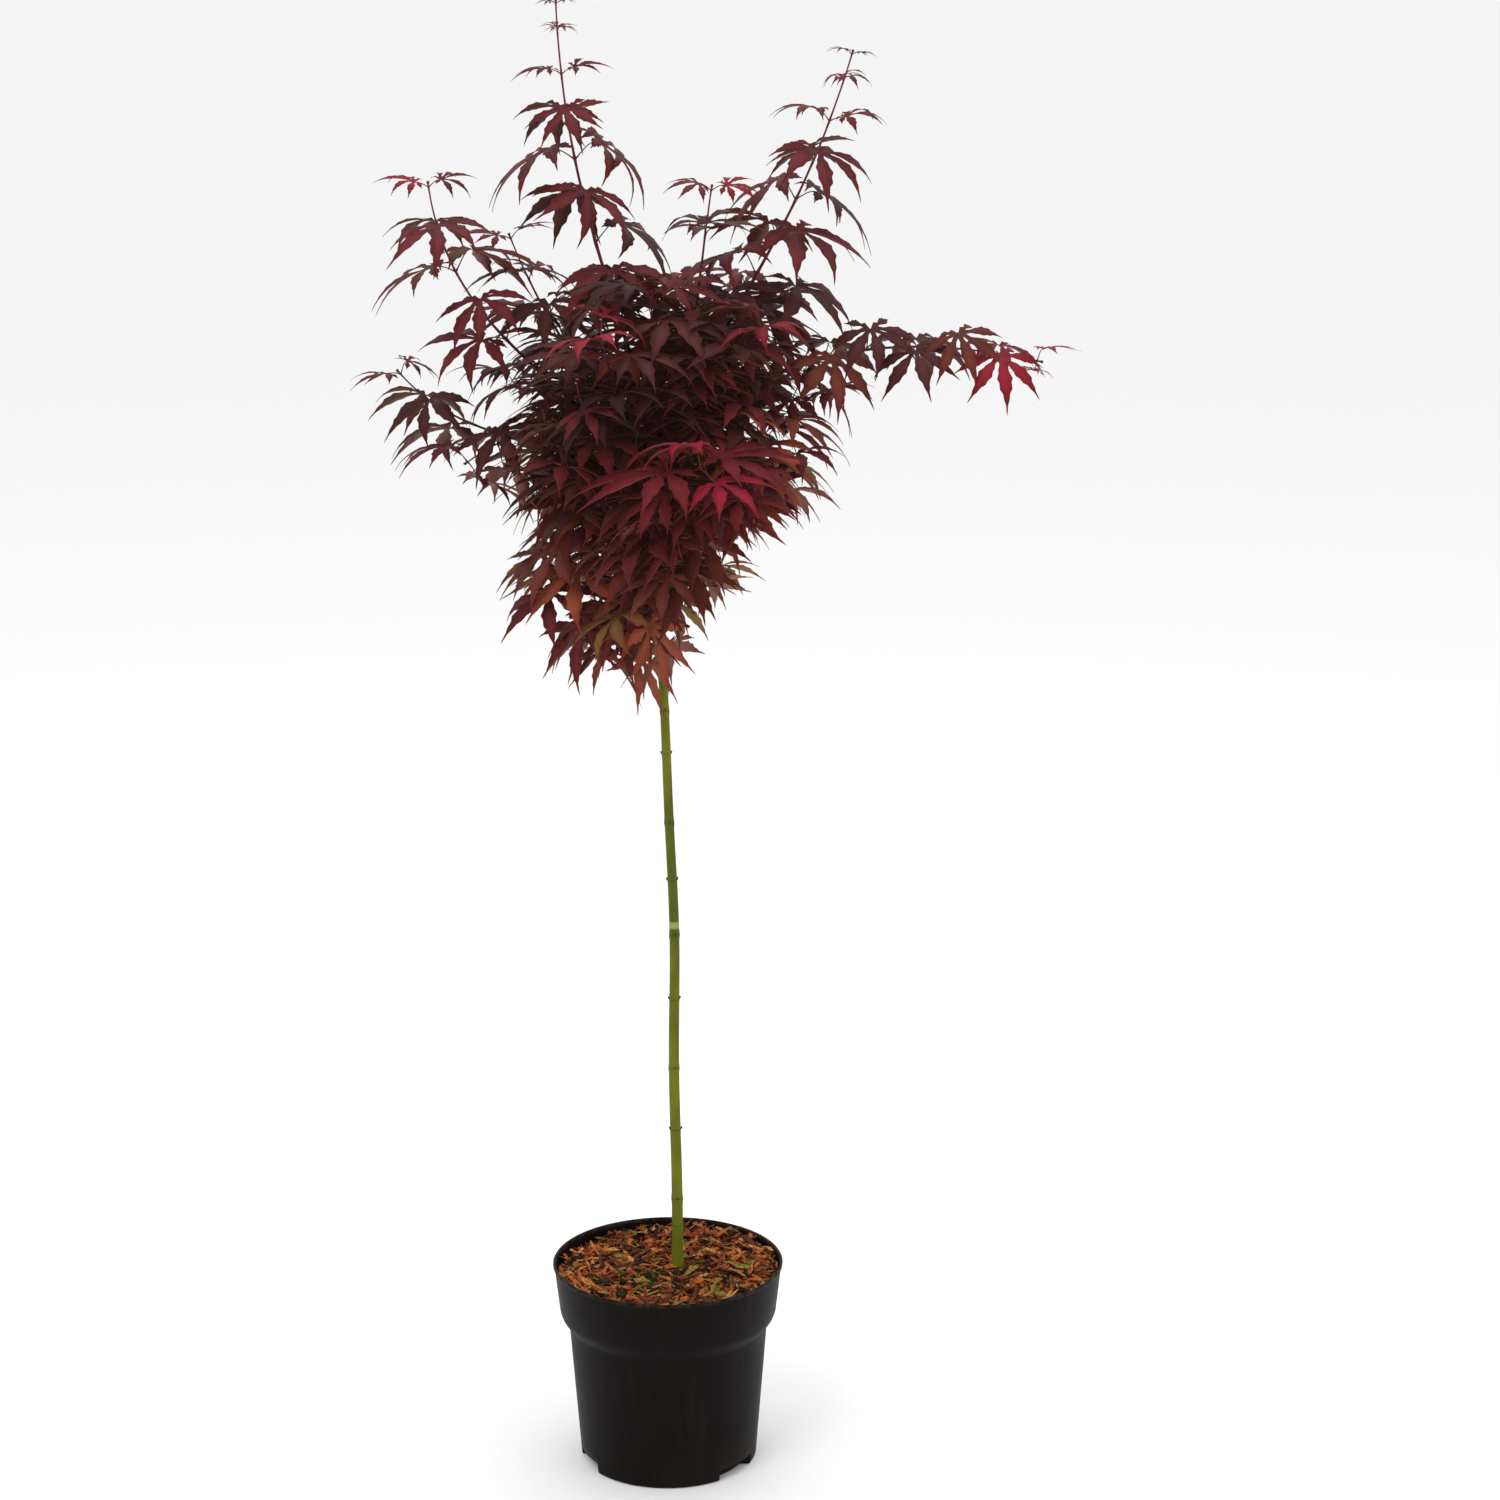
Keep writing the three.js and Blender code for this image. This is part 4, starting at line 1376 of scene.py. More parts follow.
LIMBS = (
    Limb("bottom_left", 880, (-74, -40, 892), (26, -26), Growth.SETTLED, Palette.FOOT),
    Limb("bottom_right", 884, (24, -32, 900), (26, -26), Growth.SETTLED, Palette.FOOT),
    Limb("bottom_front", 896, (-30, -84, 904), (32, -22), Growth.SETTLED, Palette.FOOT),
    Limb("bottom_back", 900, (4, 92, 916), (32, -18), Growth.SETTLED, Palette.FOOT),
    Limb("lower_left", 914, (-112, -16, 948), (40, -6), Growth.SETTLED, Palette.SKIRT),
    Limb("lower_right", 920, (42, -56, 974), (42, 0), Growth.SETTLED, Palette.SKIRT),
    Limb("lower_front", 934, (20, -122, 984), (44, 2), Growth.SETTLED, Palette.SKIRT),
    Limb("lower_back", 938, (-44, 138, 996), (44, 6), Growth.SETTLED, Palette.SKIRT),
    Limb("middle_left", 952, (-98, 62, 1040), (52, 10), Growth.SETTLED, Palette.SKIRT),
    Limb("middle_right", 957, (114, 62, 1030), (48, 8), Growth.SETTLED, Palette.SKIRT),
    Limb("front_rosette", 970, (40, -176, 1080), (50, 14), Growth.VIGOROUS, Palette.ROSETTE),
    Limb("middle_back", 974, (54, 168, 1094), (50, 20), Growth.SETTLED, Palette.HEART),
    Limb("front_middle", 988, (-92, -104, 1084), (52, 14), Growth.SETTLED, Palette.HEART),
    Limb("right_middle", 993, (128, -62, 1088), (52, 10), Growth.SETTLED, Palette.SKIRT),
    Limb("low_left", 1002, (-257, -14, 1149), (54, 50), Growth.RESTING, Palette.FRINGE, 20.0, 0.95, 0.3),
    Limb("back_right", 1008, (84, 138, 1210), (60, 54), Growth.SETTLED, Palette.HEART),
    Limb("front_left", 1016, (-54, -142, 1198), (56, 56), Growth.SETTLED, Palette.BLUSH),
    Limb("back_left", 1020, (-108, 156, 1150), (54, 34), Growth.SETTLED, Palette.HEART),
    Limb("high_left", 1030, (-222, -36, 1332), (54, 83), Growth.RESTING, Palette.FRINGE, 16.0, 0.95, 0.3),
    Limb("long_right", 1033, (368, -20, 1160), (60, -12), Growth.RESTING, Palette.REACHING, 32.0, 0.86, 0.4),
    Limb("crown_front", 1038, (-8, -74, 1232), (60, 76), Growth.SETTLED, Palette.HEART),
    Limb("inner_left", 1044, (-152, 66, 1273), (54, 66), Growth.RESTING, Palette.FRINGE, 0.0, 0.95, 0.4),
    Limb("right_high", 1048, (98, -84, 1200), (56, 42), Growth.SETTLED, Palette.FRINGE),
    Limb("right_leader", 1058, (185, 40, 1452), (64, 73), Growth.GROWING, Palette.LEADER, 34.0, 1.12, 0.1),
    Limb("middle_leader", 1069, (49, -26, 1328), (63, 80), Growth.RESTING, Palette.FRINGE, 0.0, 0.95, 0.4),
    Limb("left_leader", 1080, (-101, 24, 1501), (74, 88), Growth.GROWING, Palette.LEADER, 40.0, 1.0, 0.1),
)


@dataclass
class Leaf:
    """One leaf where it grows: its stalk's ends, the way it faces, its size, tint, habit and form."""

    node: Vector
    heel: Vector
    stalk_way: Vector
    forward: Vector
    normal: Vector
    size: float
    tint: LeafTint
    habit: Habit
    form: int


@dataclass
class Place:
    """A node on a shoot: where it is, and the directions along and across the shoot."""

    node: Vector
    along: Vector
    sideways: Vector


@dataclass(frozen=True)
class Lobe:
    """One lobe of a leaf: its bearing from the middle lobe, its length, and how it rises, bends and sweeps.

    The angles are in radians, and the length is a share of the leaf's.
    """

    ARCH_STEPS = 8
    ARCH_POWER = 1.25

    bearing: float
    length: float
    rise: float
    bend: float
    sweep: float

    def arched(self, flat: Vector, fold: float) -> Vector:
        """Arches the lobe over and folds it along its rib.

        Args:
            flat: a point of the flat lobe.
            fold: how much its sides rise from the rib, as a share of their width.

        Returns:
            Where the point goes.
        """
        distance = flat.xy.length
        bearing = math.atan2(flat.x, flat.y)
        run = min(distance / self.length, 1.0)
        out, drop, angle = 0.0, 0.0, 0.0
        for i in range(self.ARCH_STEPS):
            angle = self.rise - self.bend * (run * (i + 0.5) / self.ARCH_STEPS) ** self.ARCH_POWER
            out += math.cos(angle) * distance / self.ARCH_STEPS
            drop += math.sin(angle) * distance / self.ARCH_STEPS
        lifted = flat.z + fold * abs((bearing - self.bearing) * distance) * (1 - 0.5 * run)
        out -= math.sin(angle) * lifted
        bearing += self.sweep * run * run
        return Vector((math.sin(bearing) * out, math.cos(bearing) * out, drop + math.cos(angle) * lifted))


@dataclass
class LeafPatterns:
    """The forms a leaf takes: seven slender toothed lobes with long tails, cut almost to the heel.

    A station is a share of a lobe's length, and the lobe's width there as a share of its greatest.
    """

    bearings: tuple[float, ...] = (-120.0, -79.0, -38.0, 0.0, 38.0, 79.0, 120.0)
    lengths: tuple[float, ...] = (0.36, 0.74, 0.94, 1.0, 0.94, 0.74, 0.36)
    stations: tuple[tuple[float, float], ...] = (
        (0.20, 0.42),
        (0.28, 0.64),
        (0.36, 0.86),
        (0.44, 1.0),
        (0.52, 0.98),
        (0.60, 0.82),
        (0.68, 0.58),
        (0.76, 0.36),
        (0.84, 0.19),
        (0.92, 0.085),
        (1.0, 0.0),
    )
    bearing_scatter: float = 4.0
    length_range: tuple[float, float] = (0.9, 1.08)
    rise_scatter: float = 5.0
    bend_range: tuple[float, float] = (0.75, 1.25)
    sweep: float = 0.16
    half_width: float = 0.101
    short_lobe_width: float = 0.45
    palm: float = 0.125
    palm_notch: float = 0.9
    outer_spread: float = 30.0
    tooth: float = 0.11
    tooth_reach: float = 0.014
    thickness: float = 0.0045
    upper_face_tilt: float = 0.3
    fold: float = 0.3
    proxy_shares: tuple[float, float, float] = (0.01, 0.4, 0.72)
    forms_each: int = 9
    seed: int = 301
    meshes: dict[Habit, list[bpy.types.Mesh]] = field(default_factory=dict)
    proxies: dict[Habit, list[list[Vector]]] = field(default_factory=dict)

    def build(self) -> None:
        """Builds every form once, as a closed thin mesh of unit length."""
        stream = RandomStream(self.seed)
        for habit in Habit:
            self.meshes[habit] = []
            self.proxies[habit] = []
            for number in range(self.forms_each):
                lobes = self._choose_lobes(stream, habit)
                self.meshes[habit].append(self._build_form(f"{habit.name.lower()}_{number}", lobes))
                self.proxies[habit].append(self._proxy(lobes))

    def _choose_lobes(self, stream: RandomStream, habit: Habit) -> list[Lobe]:
        """Chooses the lobes of one form.

        Args:
            stream: the random numbers.
            habit: how the lobes hang.

        Returns:
            The lobes, from the left one round to the right one.
        """
        rises, bends = habit.value
        rise, bend = stream.between(*rises), stream.between(*bends)
        lobes = []
        for bearing, length in zip(self.bearings, self.lengths):
            lobes.append(
                Lobe(
                    math.radians(bearing + stream.between(-self.bearing_scatter, self.bearing_scatter)),
                    length * stream.between(*self.length_range),
                    math.radians(rise + stream.between(-self.rise_scatter, self.rise_scatter)),
                    math.radians(bend * stream.between(*self.bend_range)),
                    stream.between(-self.sweep, self.sweep),
                )
            )
        return lobes

    def _build_form(self, name: str, lobes: Sequence[Lobe]) -> bpy.types.Mesh:
        """Builds one form: its lobes are laid flat, joined at the palm, thickened and arched.

        Args:
            name: the form's name.
            lobes: its lobes.

        Returns:
            The form's mesh.
        """
        shape = bmesh.new()
        shape.loops.layers.uv.new("lobe")
        spread = math.radians(self.outer_spread)
        for k, lobe in enumerate(lobes):
            before = (lobe.bearing - lobes[k - 1].bearing) / 2 if k else spread
            after = (lobes[k + 1].bearing - lobe.bearing) / 2 if k < len(lobes) - 1 else spread
            self._lay_lobe(shape, lobe, before, after)
        bmesh.ops.remove_doubles(shape, verts=shape.verts, dist=1e-4)
        bmesh.ops.recalc_face_normals(shape, faces=shape.faces)
        if shape.faces[:][0].normal.z < 0:
            bmesh.ops.reverse_faces(shape, faces=shape.faces)
        bmesh.ops.solidify(shape, geom=shape.faces[:], thickness=self.thickness)
        shape.normal_update()
        for face in shape.faces:
            face.material_index = 0 if face.normal.z > self.upper_face_tilt else 1
        for vert in shape.verts:
            bearing = math.atan2(vert.co.x, vert.co.y)
            lobe = min(lobes, key=lambda one: abs(one.bearing - bearing))
            vert.co = lobe.arched(vert.co, self.fold)
        return as_mesh(shape, "leaf_" + name)

    def _lay_lobe(self, shape: bmesh.types.BMesh, lobe: Lobe, before: float, after: float) -> None:
        """Lays one lobe flat: a toothed strip two faces wide from the leaf's heel to the lobe's tip.

        Args:
            shape: the mesh it is added to.
            lobe: the lobe.
            before: the angle to the notch on its left, in radians.
            after: the angle to the notch on its right, in radians.
        """
        steps = len(self.stations) + 1
        heading = Vector((math.sin(lobe.bearing), math.cos(lobe.bearing), 0.0))
        across = Vector((heading.y, -heading.x, 0.0))
        grid = bmesh.ops.create_grid(shape, x_segments=2, y_segments=steps, size=0.5, calc_uvs=True)["verts"]
        for vert in grid:
            side = round(vert.co.x * 2)
            step = round((vert.co.y + 0.5) * steps)
            if step <= 1:
                bearing = lobe.bearing + side * (after if side > 0 else before)
                distance = self.palm * step * (1.0 if side == 0 else self.palm_notch)
                vert.co = Vector((math.sin(bearing), math.cos(bearing), 0.0)) * distance
                continue
            run, broad = self.stations[step - 2]
            width = self.half_width * broad * lerp(self.short_lobe_width, 1.0, lobe.length)
            distance = lerp(self.palm, lobe.length, (run - self.palm) / (1.0 - self.palm))
            if side and step < steps:
                width *= 1.0 + self.tooth if step % 2 else 1.0 - self.tooth
                distance += self.tooth_reach if step % 2 else 0.0
            vert.co = heading * distance + across * (side * max(width, 0.0))

    def _proxy(self, lobes: Sequence[Lobe]) -> list[Vector]:
        """Makes a few triangles that stand for a leaf where leaves are kept out of each other.

        Args:
            lobes: the leaf's lobes.

        Returns:
            The triangles' corners, three by three.
        """
        corners = []
        for lobe in lobes:
            heading = Vector((math.sin(lobe.bearing), math.cos(lobe.bearing), 0.0))
            across = Vector((heading.y, -heading.x, 0.0)) * self.half_width * 0.5
            at_heel, at_middle, at_tip = self.proxy_shares
            middle, tip = heading * lobe.length * at_middle, heading * lobe.length * at_tip
            points = [heading * at_heel, middle + across, middle - across, tip]
            a, b, c, d = [lobe.arched(point, self.fold) for point in points]
            corners += [a, b, c, b, d, c]
        return corners


@dataclass
class Crown:
    """The crown: limbs in the same places as the solids' limbs, with finer twigs, leaves, stalks and buds.

    Each row of the limits is a height, and how far left and right of the pot's axis leaves may reach there.
    The heart's limits hold for the limbs that fill the middle.
    """

    trunk: Trunk
    patterns: LeafPatterns
    limb_pull: float = 0.4
    limb_points: int = 80
    bough_root_radius: float = 0.0029
    shoot_root_radius: float = 0.0022
    shoot_tip_radius: float = 0.0007
    shoot_taper: float = 0.65
    collar: float = 0.5
    collar_fall: float = 22.0
    node_swelling: float = 0.32
    node_reach: float = 0.012
    most_swelling: float = 0.4
    shoot_ridges: float = 0.00008
    shoot_step: float = 0.0045
    shoot_sides: int = 10
    twig_sides: int = 7
    stalk_sides: int = 5
    stalk_steps: int = 7
    tip_bud_sides: int = 6
    tip_bud_size: tuple[float, float, float] = (0.0011, 0.0011, 0.0026)
    tip_bud_lean: float = 0.35
    twig_radius: float = 0.0011
    stalk_radius: float = 0.00062
    stalk_range: tuple[float, float] = (0.75, 1.1)
    stalk_bow: tuple[float, float] = (0.45, 0.14)
    stalk_hand: tuple[float, float] = (0.3, 0.03)
    stalk_in_leaf: float = 0.03
    stalk_foot: float = 0.9
    stalk_foot_fall: float = 14.0
    stalk_taper: float = 0.25
    curve_points: int = 12
    internode: float = 0.041
    twig_length: float = 0.057
    twig_range: tuple[float, float] = (0.85, 1.15)
    twig_bow: float = 0.003
    twig_free_length: float = 0.080
    length_per_twig: float = 0.110
    most_twigs: int = 2
    bare_share_low: float = 0.29
    bare_share_high: float = 0.23
    leaf_length: float = 0.086
    leaf_range: tuple[float, float] = (0.88, 1.1)
    leaf_half_width: float = 0.6
    young_scale: float = 0.7
    arched_share: tuple[float, float] = (0.05, 1.5)
    bearing_scatter: float = 24.0
    dip_scatter: float = 16.0
    roll_scatter: float = 40.0
    stalk_share: float = 0.30
    stalk_lean: float = 0.3
    stalk_lift: float = 0.12
    underside_share: float = 0.35
    droop_low: float = 46.0
    droop_high: float = 6.0
    arched_dip_less: float = 14.0
    turns_tried: tuple[float, ...] = (0.0, 22.0, -22.0, 45.0, -45.0, 68.0, -68.0, 92.0, -92.0)
    nods_tried: tuple[float, ...] = (0.0, 16.0, -16.0)
    first_seed: int = 1404
    fine_seed: int = 5200
    length_per_fine_twig: float = 0.045
    most_fine_twigs: int = 5
    most_on_open_limbs: int = 3
    fine_twig_start: float = 0.06
    fine_twig_stretch: float = 0.6
    fine_twig_top: float = 1.170
    fine_twig_reach: float = 0.150
    forward_lean: float = 0.25
    limits: tuple[tuple[float, float, float], ...] = (
        (0.820, -0.092, 0.016),
        (0.870, -0.138, 0.034),
        (0.908, -0.160, 0.046),
        (0.972, -0.166, 0.104),
        (1.026, -0.170, 0.186),
        (1.060, -0.284, 0.205),
        (1.110, -0.300, 0.400),
    )
    heart_limits: tuple[tuple[float, float, float], ...] = (
        (1.026, -0.170, 0.186),
        (1.100, -0.168, 0.165),
        (1.180, -0.160, 0.138),
        (1.260, -0.150, 0.125),
    )
    storeys: int = 5
    shoots: list[tuple[Path, float, float, list[float]]] = field(default_factory=list)
    leaves: dict[str, list[Leaf]] = field(default_factory=dict)
    standing: list[tuple[Vector, float, BVHTree]] = field(default_factory=list)

    def by_storey(self, limb: Limb, low: float, high: float) -> float:
        """Returns a value that changes from the lowest limb to the highest."""
        lowest, highest = LIMBS[0].fork, LIMBS[-1].fork
        return lerp(low, high, (limb.fork - lowest) / (highest - lowest))

    def limb_path(self, limb: Limb) -> Path:
        """Lays a limb's path from the stem's axis to its tip.

        Args:
            limb: the limb.

        Returns:
            The path.
        """
        root = self.trunk.at_height(limb.fork * MM)
        tip = Vector(limb.tip) * MM
        across = Vector((tip.x - root.x, tip.y - root.y, 0.0)).normalized()
        climbs = [math.radians(climb) for climb in limb.climb]
        leaving, arriving = [across * math.cos(climb) + UP * math.sin(climb) for climb in climbs]
        pull = self.limb_pull * (tip - root).length
        hands = (root + leaving * pull, tip - arriving * pull)
        return Path(interpolate_bezier(root, *hands, tip, self.limb_points))

    def grow(self) -> None:
        """Grows every limb with its twigs and leaves, and then the finer twigs between them."""
        paths = [self.limb_path(limb) for limb in LIMBS]
        bare = [self.by_storey(limb, self.bare_share_low, self.bare_share_high) for limb in LIMBS]
        for i, limb in enumerate(LIMBS):
            self.leaves[limb.name] = []
            length = (1 - bare[i]) * paths[i].length
            wanted = math.ceil((length - self.twig_free_length) / self.length_per_twig)
            twigs = max(0, min(self.most_twigs, wanted))
            stream = RandomStream(self.first_seed + i)
            nodes = self.grow_shoot(paths[i], bare[i], limb.growth.value, twigs, limb, stream)
            self.shoots.append((paths[i], self.bough_root_radius, self.shoot_tip_radius, nodes))
        for i, limb in enumerate(LIMBS):
            self.grow_fine_twigs(paths[i], bare[i], limb, RandomStream(self.fine_seed + i))
        logger.info("crown: %d leaves", sum(len(leaves) for leaves in self.leaves.values()))

    def grow_shoot(
        self,
        path: Path,
        start: float,
        vigour: Vigour,
        twigs: int,
        limb: Limb,
        stream: RandomStream,
        depth: int = 0,
    ) -> list[float]:
        """Grows opposite pairs of leaves back from a shoot's tip, and twigs at its lowest pairs.

        Args:
            path: the shoot's line.
            start: the share of the line where its leafy stretch starts.
            vigour: how it ends.
            twigs: how many of its lowest pairs carry a twig.
            limb: the limb it belongs to.
            stream: the limb's random numbers.
            depth: 0 on a limb, 1 on a twig.

        Returns:
            The nodes' shares of the line.
        """
        length = (1 - start) * path.length
        first = 360.0 * stream.draw()
        distances = []
        distance = vigour.internodes[0]
        while distance < length - self.internode / 4:
            distances.append(distance)
            more = len(distances) < len(vigour.internodes)
            distance += vigour.internodes[len(distances)] if more else self.internode
        shares = []
        for k, distance in enumerate(distances):
            share = lerp(start, 1.0, 1 - distance / length)
            shares.append(share)
            place = self.place_on(path, share)
            for half in (0.0, 180.0):
                bearing = first + 90.0 * k + half + self.bearing_scatter * (stream.draw() - 0.5)
                scale = vigour.scales[k] if k < len(vigour.scales) else 1.0
                size = self.leaf_length * limb.scale * scale * lerp(*self.leaf_range, stream.draw())
                age = min(k + depth, 2) if scale > self.young_scale else 0
                chance = stream.side_stream()
                if half == 0.0 and len(distances) - k <= twigs and chance.draw() >= limb.shed:
                    self.grow_twig(place, bearing + 90.0, Growth.TWIG, limb, stream)
                if k < len(vigour.scales) or chance.draw() >= limb.shed:
                    self.grow_leaf(place, bearing, size, limb, stream, age)
        return shares

    @staticmethod
    def place_on(path: Path, share: float) -> Place:
        """Finds a node on a path.

        Args:
            path: the path.
            share: the node's share of its length.

        Returns:
            The node.
        """
        along = path.tangent(min(share, 0.995))
        reference = Vector((1.0, 0.0, 0.0)) if abs(along.z) > STEEP else UP
        return Place(path.at(share), along, reference.cross(along).normalized())

    def stalk_direction(self, place: Place, bearing: float) -> Vector:
        """Finds the way a stalk or twig leaves its shoot.

        Args:
            place: the node it grows from.
            bearing: its turn about the shoot, in degrees.

        Returns:
            The direction, of unit length.
        """
        outward = Matrix.Rotation(math.radians(bearing), 3, place.along) @ place.sideways
        if outward.z < 0:
            outward.z *= self.underside_share
        return (outward.normalized() + place.along * self.stalk_lean + UP * self.stalk_lift).normalized()

    def grow_leaf(
        self, place: Place, bearing: float, size: float, limb: Limb, stream: RandomStream, age: int
    ) -> None:
        """Grows one leaf, which turns about its shoot until it is clear of the others.

        One that finds no such place isn't made.

        Args:
            place: the node it grows from.
            bearing: the way it leaves the shoot, in degrees about the shoot.
            size: the length of its middle lobe.
            limb: the limb it belongs to.
            stream: the limb's random numbers.
            age: 0 at a young tip, 1 at the next pair, and 2 further back.
        """
        droop = self.by_storey(limb, self.droop_low, self.droop_high)
        dip = math.radians(droop + self.dip_scatter * (stream.draw() - 0.5))
        roll = math.radians(self.roll_scatter * (stream.draw() - 0.5))
        chooser = stream.side_stream()
        form = int(chooser.draw() * self.patterns.forms_each) % self.patterns.forms_each
        tint = chooser.pick(limb.palette.value[age])
        arched = chooser.draw() < self.by_storey(limb, *self.arched_share)
        habit = Habit.ARCHED if arched else Habit.FANNED
        hang = limb.hang if size > self.young_scale * self.leaf_length else 0.0
        dip += math.radians(hang - (self.arched_dip_less if habit is Habit.ARCHED else 0.0))
        for turn, nod in [(turn, nod) for nod in self.nods_tried for turn in self.turns_tried]:
            way = self.stalk_direction(place, bearing + turn)
            heel = place.node + way * (self.stalk_share * size + self.shoot_root_radius)
            level = Vector((way.x, way.y, 0.0)).normalized()
            nodding = dip + math.radians(nod)
            forward = level * math.cos(nodding) - UP * math.sin(nodding)
            normal = level * math.sin(nodding) + UP * math.cos(nodding)
            normal = Matrix.Rotation(roll, 3, forward) @ normal
            leaf = Leaf(place.node.copy(), heel, way, forward, normal, size, tint, habit, form)
            aside = forward.cross(normal) * (self.leaf_half_width * size)
            if not all(self.stays_inside(heel + reach, limb) for reach in (forward * size, aside, -aside)):
                continue
            tree = self.proxy_tree(leaf)
            if not self.meets(heel, size, tree):
                self.standing.append((heel, size, tree))
                self.leaves[limb.name].append(leaf)
                return

    def stays_inside(self, tip: Vector, limb: Limb) -> bool:
        """Tells whether a leaf's tip is no further out than the crown reaches at its height.

        The crown leans a little to the front, so its limits are lower there.

        Args:
            tip: the tip of one of the leaf's lobes.
            limb: the limb it belongs to.

        Returns:
            Whether the tip may be there.
        """
        height = tip.z + self.forward_lean * tip.y
        rows = self.limits
        if limb.growth in (Growth.SETTLED, Growth.VIGOROUS) and height > self.heart_limits[0][0]:
            rows = self.heart_limits
        above = next((i for i, row in enumerate(rows) if row[0] > height), None)
        if above is None:
            return rows is self.limits or rows[-1][1] < tip.x < rows[-1][2]
        low, high = rows[max(above - 1, 0)], rows[above]
        share = min(max((height - low[0]) / max(high[0] - low[0], MM), 0.0), 1.0)
        return lerp(low[1], high[1], share) < tip.x < lerp(low[2], high[2], share)

    def grow_twig(
        self, place: Place, bearing: float, growth: Growth, limb: Limb, stream: RandomStream
    ) -> None:
        """Grows a short side twig with its own leaves. One that gets none isn't kept.

        Args:
            place: the node it grows from.
            bearing: the way it leaves the shoot, in degrees about the shoot.
            growth: the kind of twig.
            limb: the limb it belongs to.
            stream: the random numbers.
        """
        length = self.twig_length * lerp(*self.twig_range, stream.draw())
        way = self.stalk_direction(place, bearing)
        end = place.node + way * length
        bow = place.node.lerp(end, 0.5) + UP * self.twig_bow
        path = Path(interpolate_bezier(place.node, bow, bow, end, self.curve_points))
        before = len(self.leaves[limb.name])
        nodes = self.grow_shoot(path, 0.0, growth.value, 0, limb, stream, 1)
        if len(self.leaves[limb.name]) > before:
            self.shoots.append((path, self.twig_radius, self.shoot_tip_radius, nodes))

    def grow_fine_twigs(self, path: Path, bare: float, limb: Limb, stream: RandomStream) -> None:
        """Grows finer twigs from the limb's inner stretch, where the crown is dense.

        Args:
            path: the limb's line.
            bare: the share of the line that has no leaves.
            limb: the limb.
            stream: the random numbers.
        """
        is_open = limb.growth in (Growth.GROWING, Growth.RESTING)
        most = self.most_on_open_limbs if is_open else self.most_fine_twigs
        count = max(2, min(most, round(path.length / self.length_per_fine_twig)))
        for i in range(count):
            place = self.place_on(path, bare - self.fine_twig_start + self.fine_twig_stretch * i / count)
            if place.node.z < self.fine_twig_top and place.node.xy.length < self.fine_twig_reach:
                self.grow_twig(place, 360.0 * stream.draw(), Growth.FINE_TWIG, limb, stream)

    @staticmethod
    def leaf_matrix(leaf: Leaf) -> Matrix:
        """Makes the matrix that puts a leaf of unit length where it grows.

        Args:
            leaf: the leaf.

        Returns:
            The matrix.
        """
        across = leaf.forward.cross(leaf.normal)
        turn = Matrix((across, leaf.forward, leaf.normal)).transposed().to_4x4()
        return Matrix.Translation(leaf.heel) @ turn @ Matrix.Scale(leaf.size, 4)

    def proxy_tree(self, leaf: Leaf) -> BVHTree:
        """Makes a search tree of the triangles that stand for a leaf.

        Args:
            leaf: the leaf.

        Returns:
            The tree.
        """
        matrix = self.leaf_matrix(leaf)
        corners = [matrix @ corner for corner in self.patterns.proxies[leaf.habit][leaf.form]]
        return BVHTree.FromPolygons(corners, [(i, i + 1, i + 2) for i in range(0, len(corners), 3)])

    def meets(self, centre: Vector, size: float, tree: BVHTree) -> bool:
        """Tells whether a leaf would cut through one that stands already.

        Args:
            centre: the leaf's heel.
            size: how far it reaches from there.
            tree: the search tree of its triangles.

        Returns:
            Whether it would.
        """
        for other, reach, standing in self.standing:
            if (other - centre).length < size + reach and tree.overlap(standing):
                return True
        return False

    def limb_radius(self, root: float, tip: float, nodes: list[float]) -> Callable[[float, float], float]:
        """Shapes a limb, with a collar at its foot and swellings at its nodes.

        Args:
            root: its radius at its foot.
            tip: its radius at its tip.
            nodes: its nodes' shares of its length.

        Returns:
            A function that gives its radius from a share of its length and a turn.
        """

        def radius_at(share: float, turn: float) -> float:
            """Works out the limb's radius.

            Args:
                share: the share of its length.
                turn: the turn about it, in radians.

            Returns:
                The radius there.
            """
            base = lerp(root, tip, share**self.shoot_taper)
            collar = self.collar * root * math.exp(-share * self.collar_fall)
            swelling = sum(self.node_swelling * base * bell(share - node, self.node_reach) for node in nodes)
            ridges = self.shoot_ridges * math.sin(3.0 * turn + 40.0 * share)
            return base + collar + min(swelling, self.most_swelling * base) + ridges

        return radius_at

    def build_boughs(self) -> bmesh.types.BMesh:
        """Builds every bough, shoot and twig as one mesh, with a bud pair at each tip.

        Returns:
            The mesh under construction.
        """
        shape = bmesh.new()
        pattern = bud_mesh(self.tip_bud_sides)
        for path, root, tip, nodes in self.shoots:
            steps = max(8, round(path.length / self.shoot_step))
            sides = self.shoot_sides if root > self.twig_radius else self.twig_sides
            add_tube(shape, path, self.limb_radius(root, tip, nodes), sides, steps)
            heading = path.tangent(0.99)
            for lean in (-self.tip_bud_lean, self.tip_bud_lean):
                way = (heading + heading.orthogonal().normalized() * lean).normalized()
                turn = way.to_track_quat("Z", "Y").to_matrix().to_4x4()
                size = Matrix.Diagonal((*self.tip_bud_size, 1.0))
                join(shape, pattern.copy(), Matrix.Translation(path.at(1.0) + way * 0.001) @ turn @ size)
        return shape

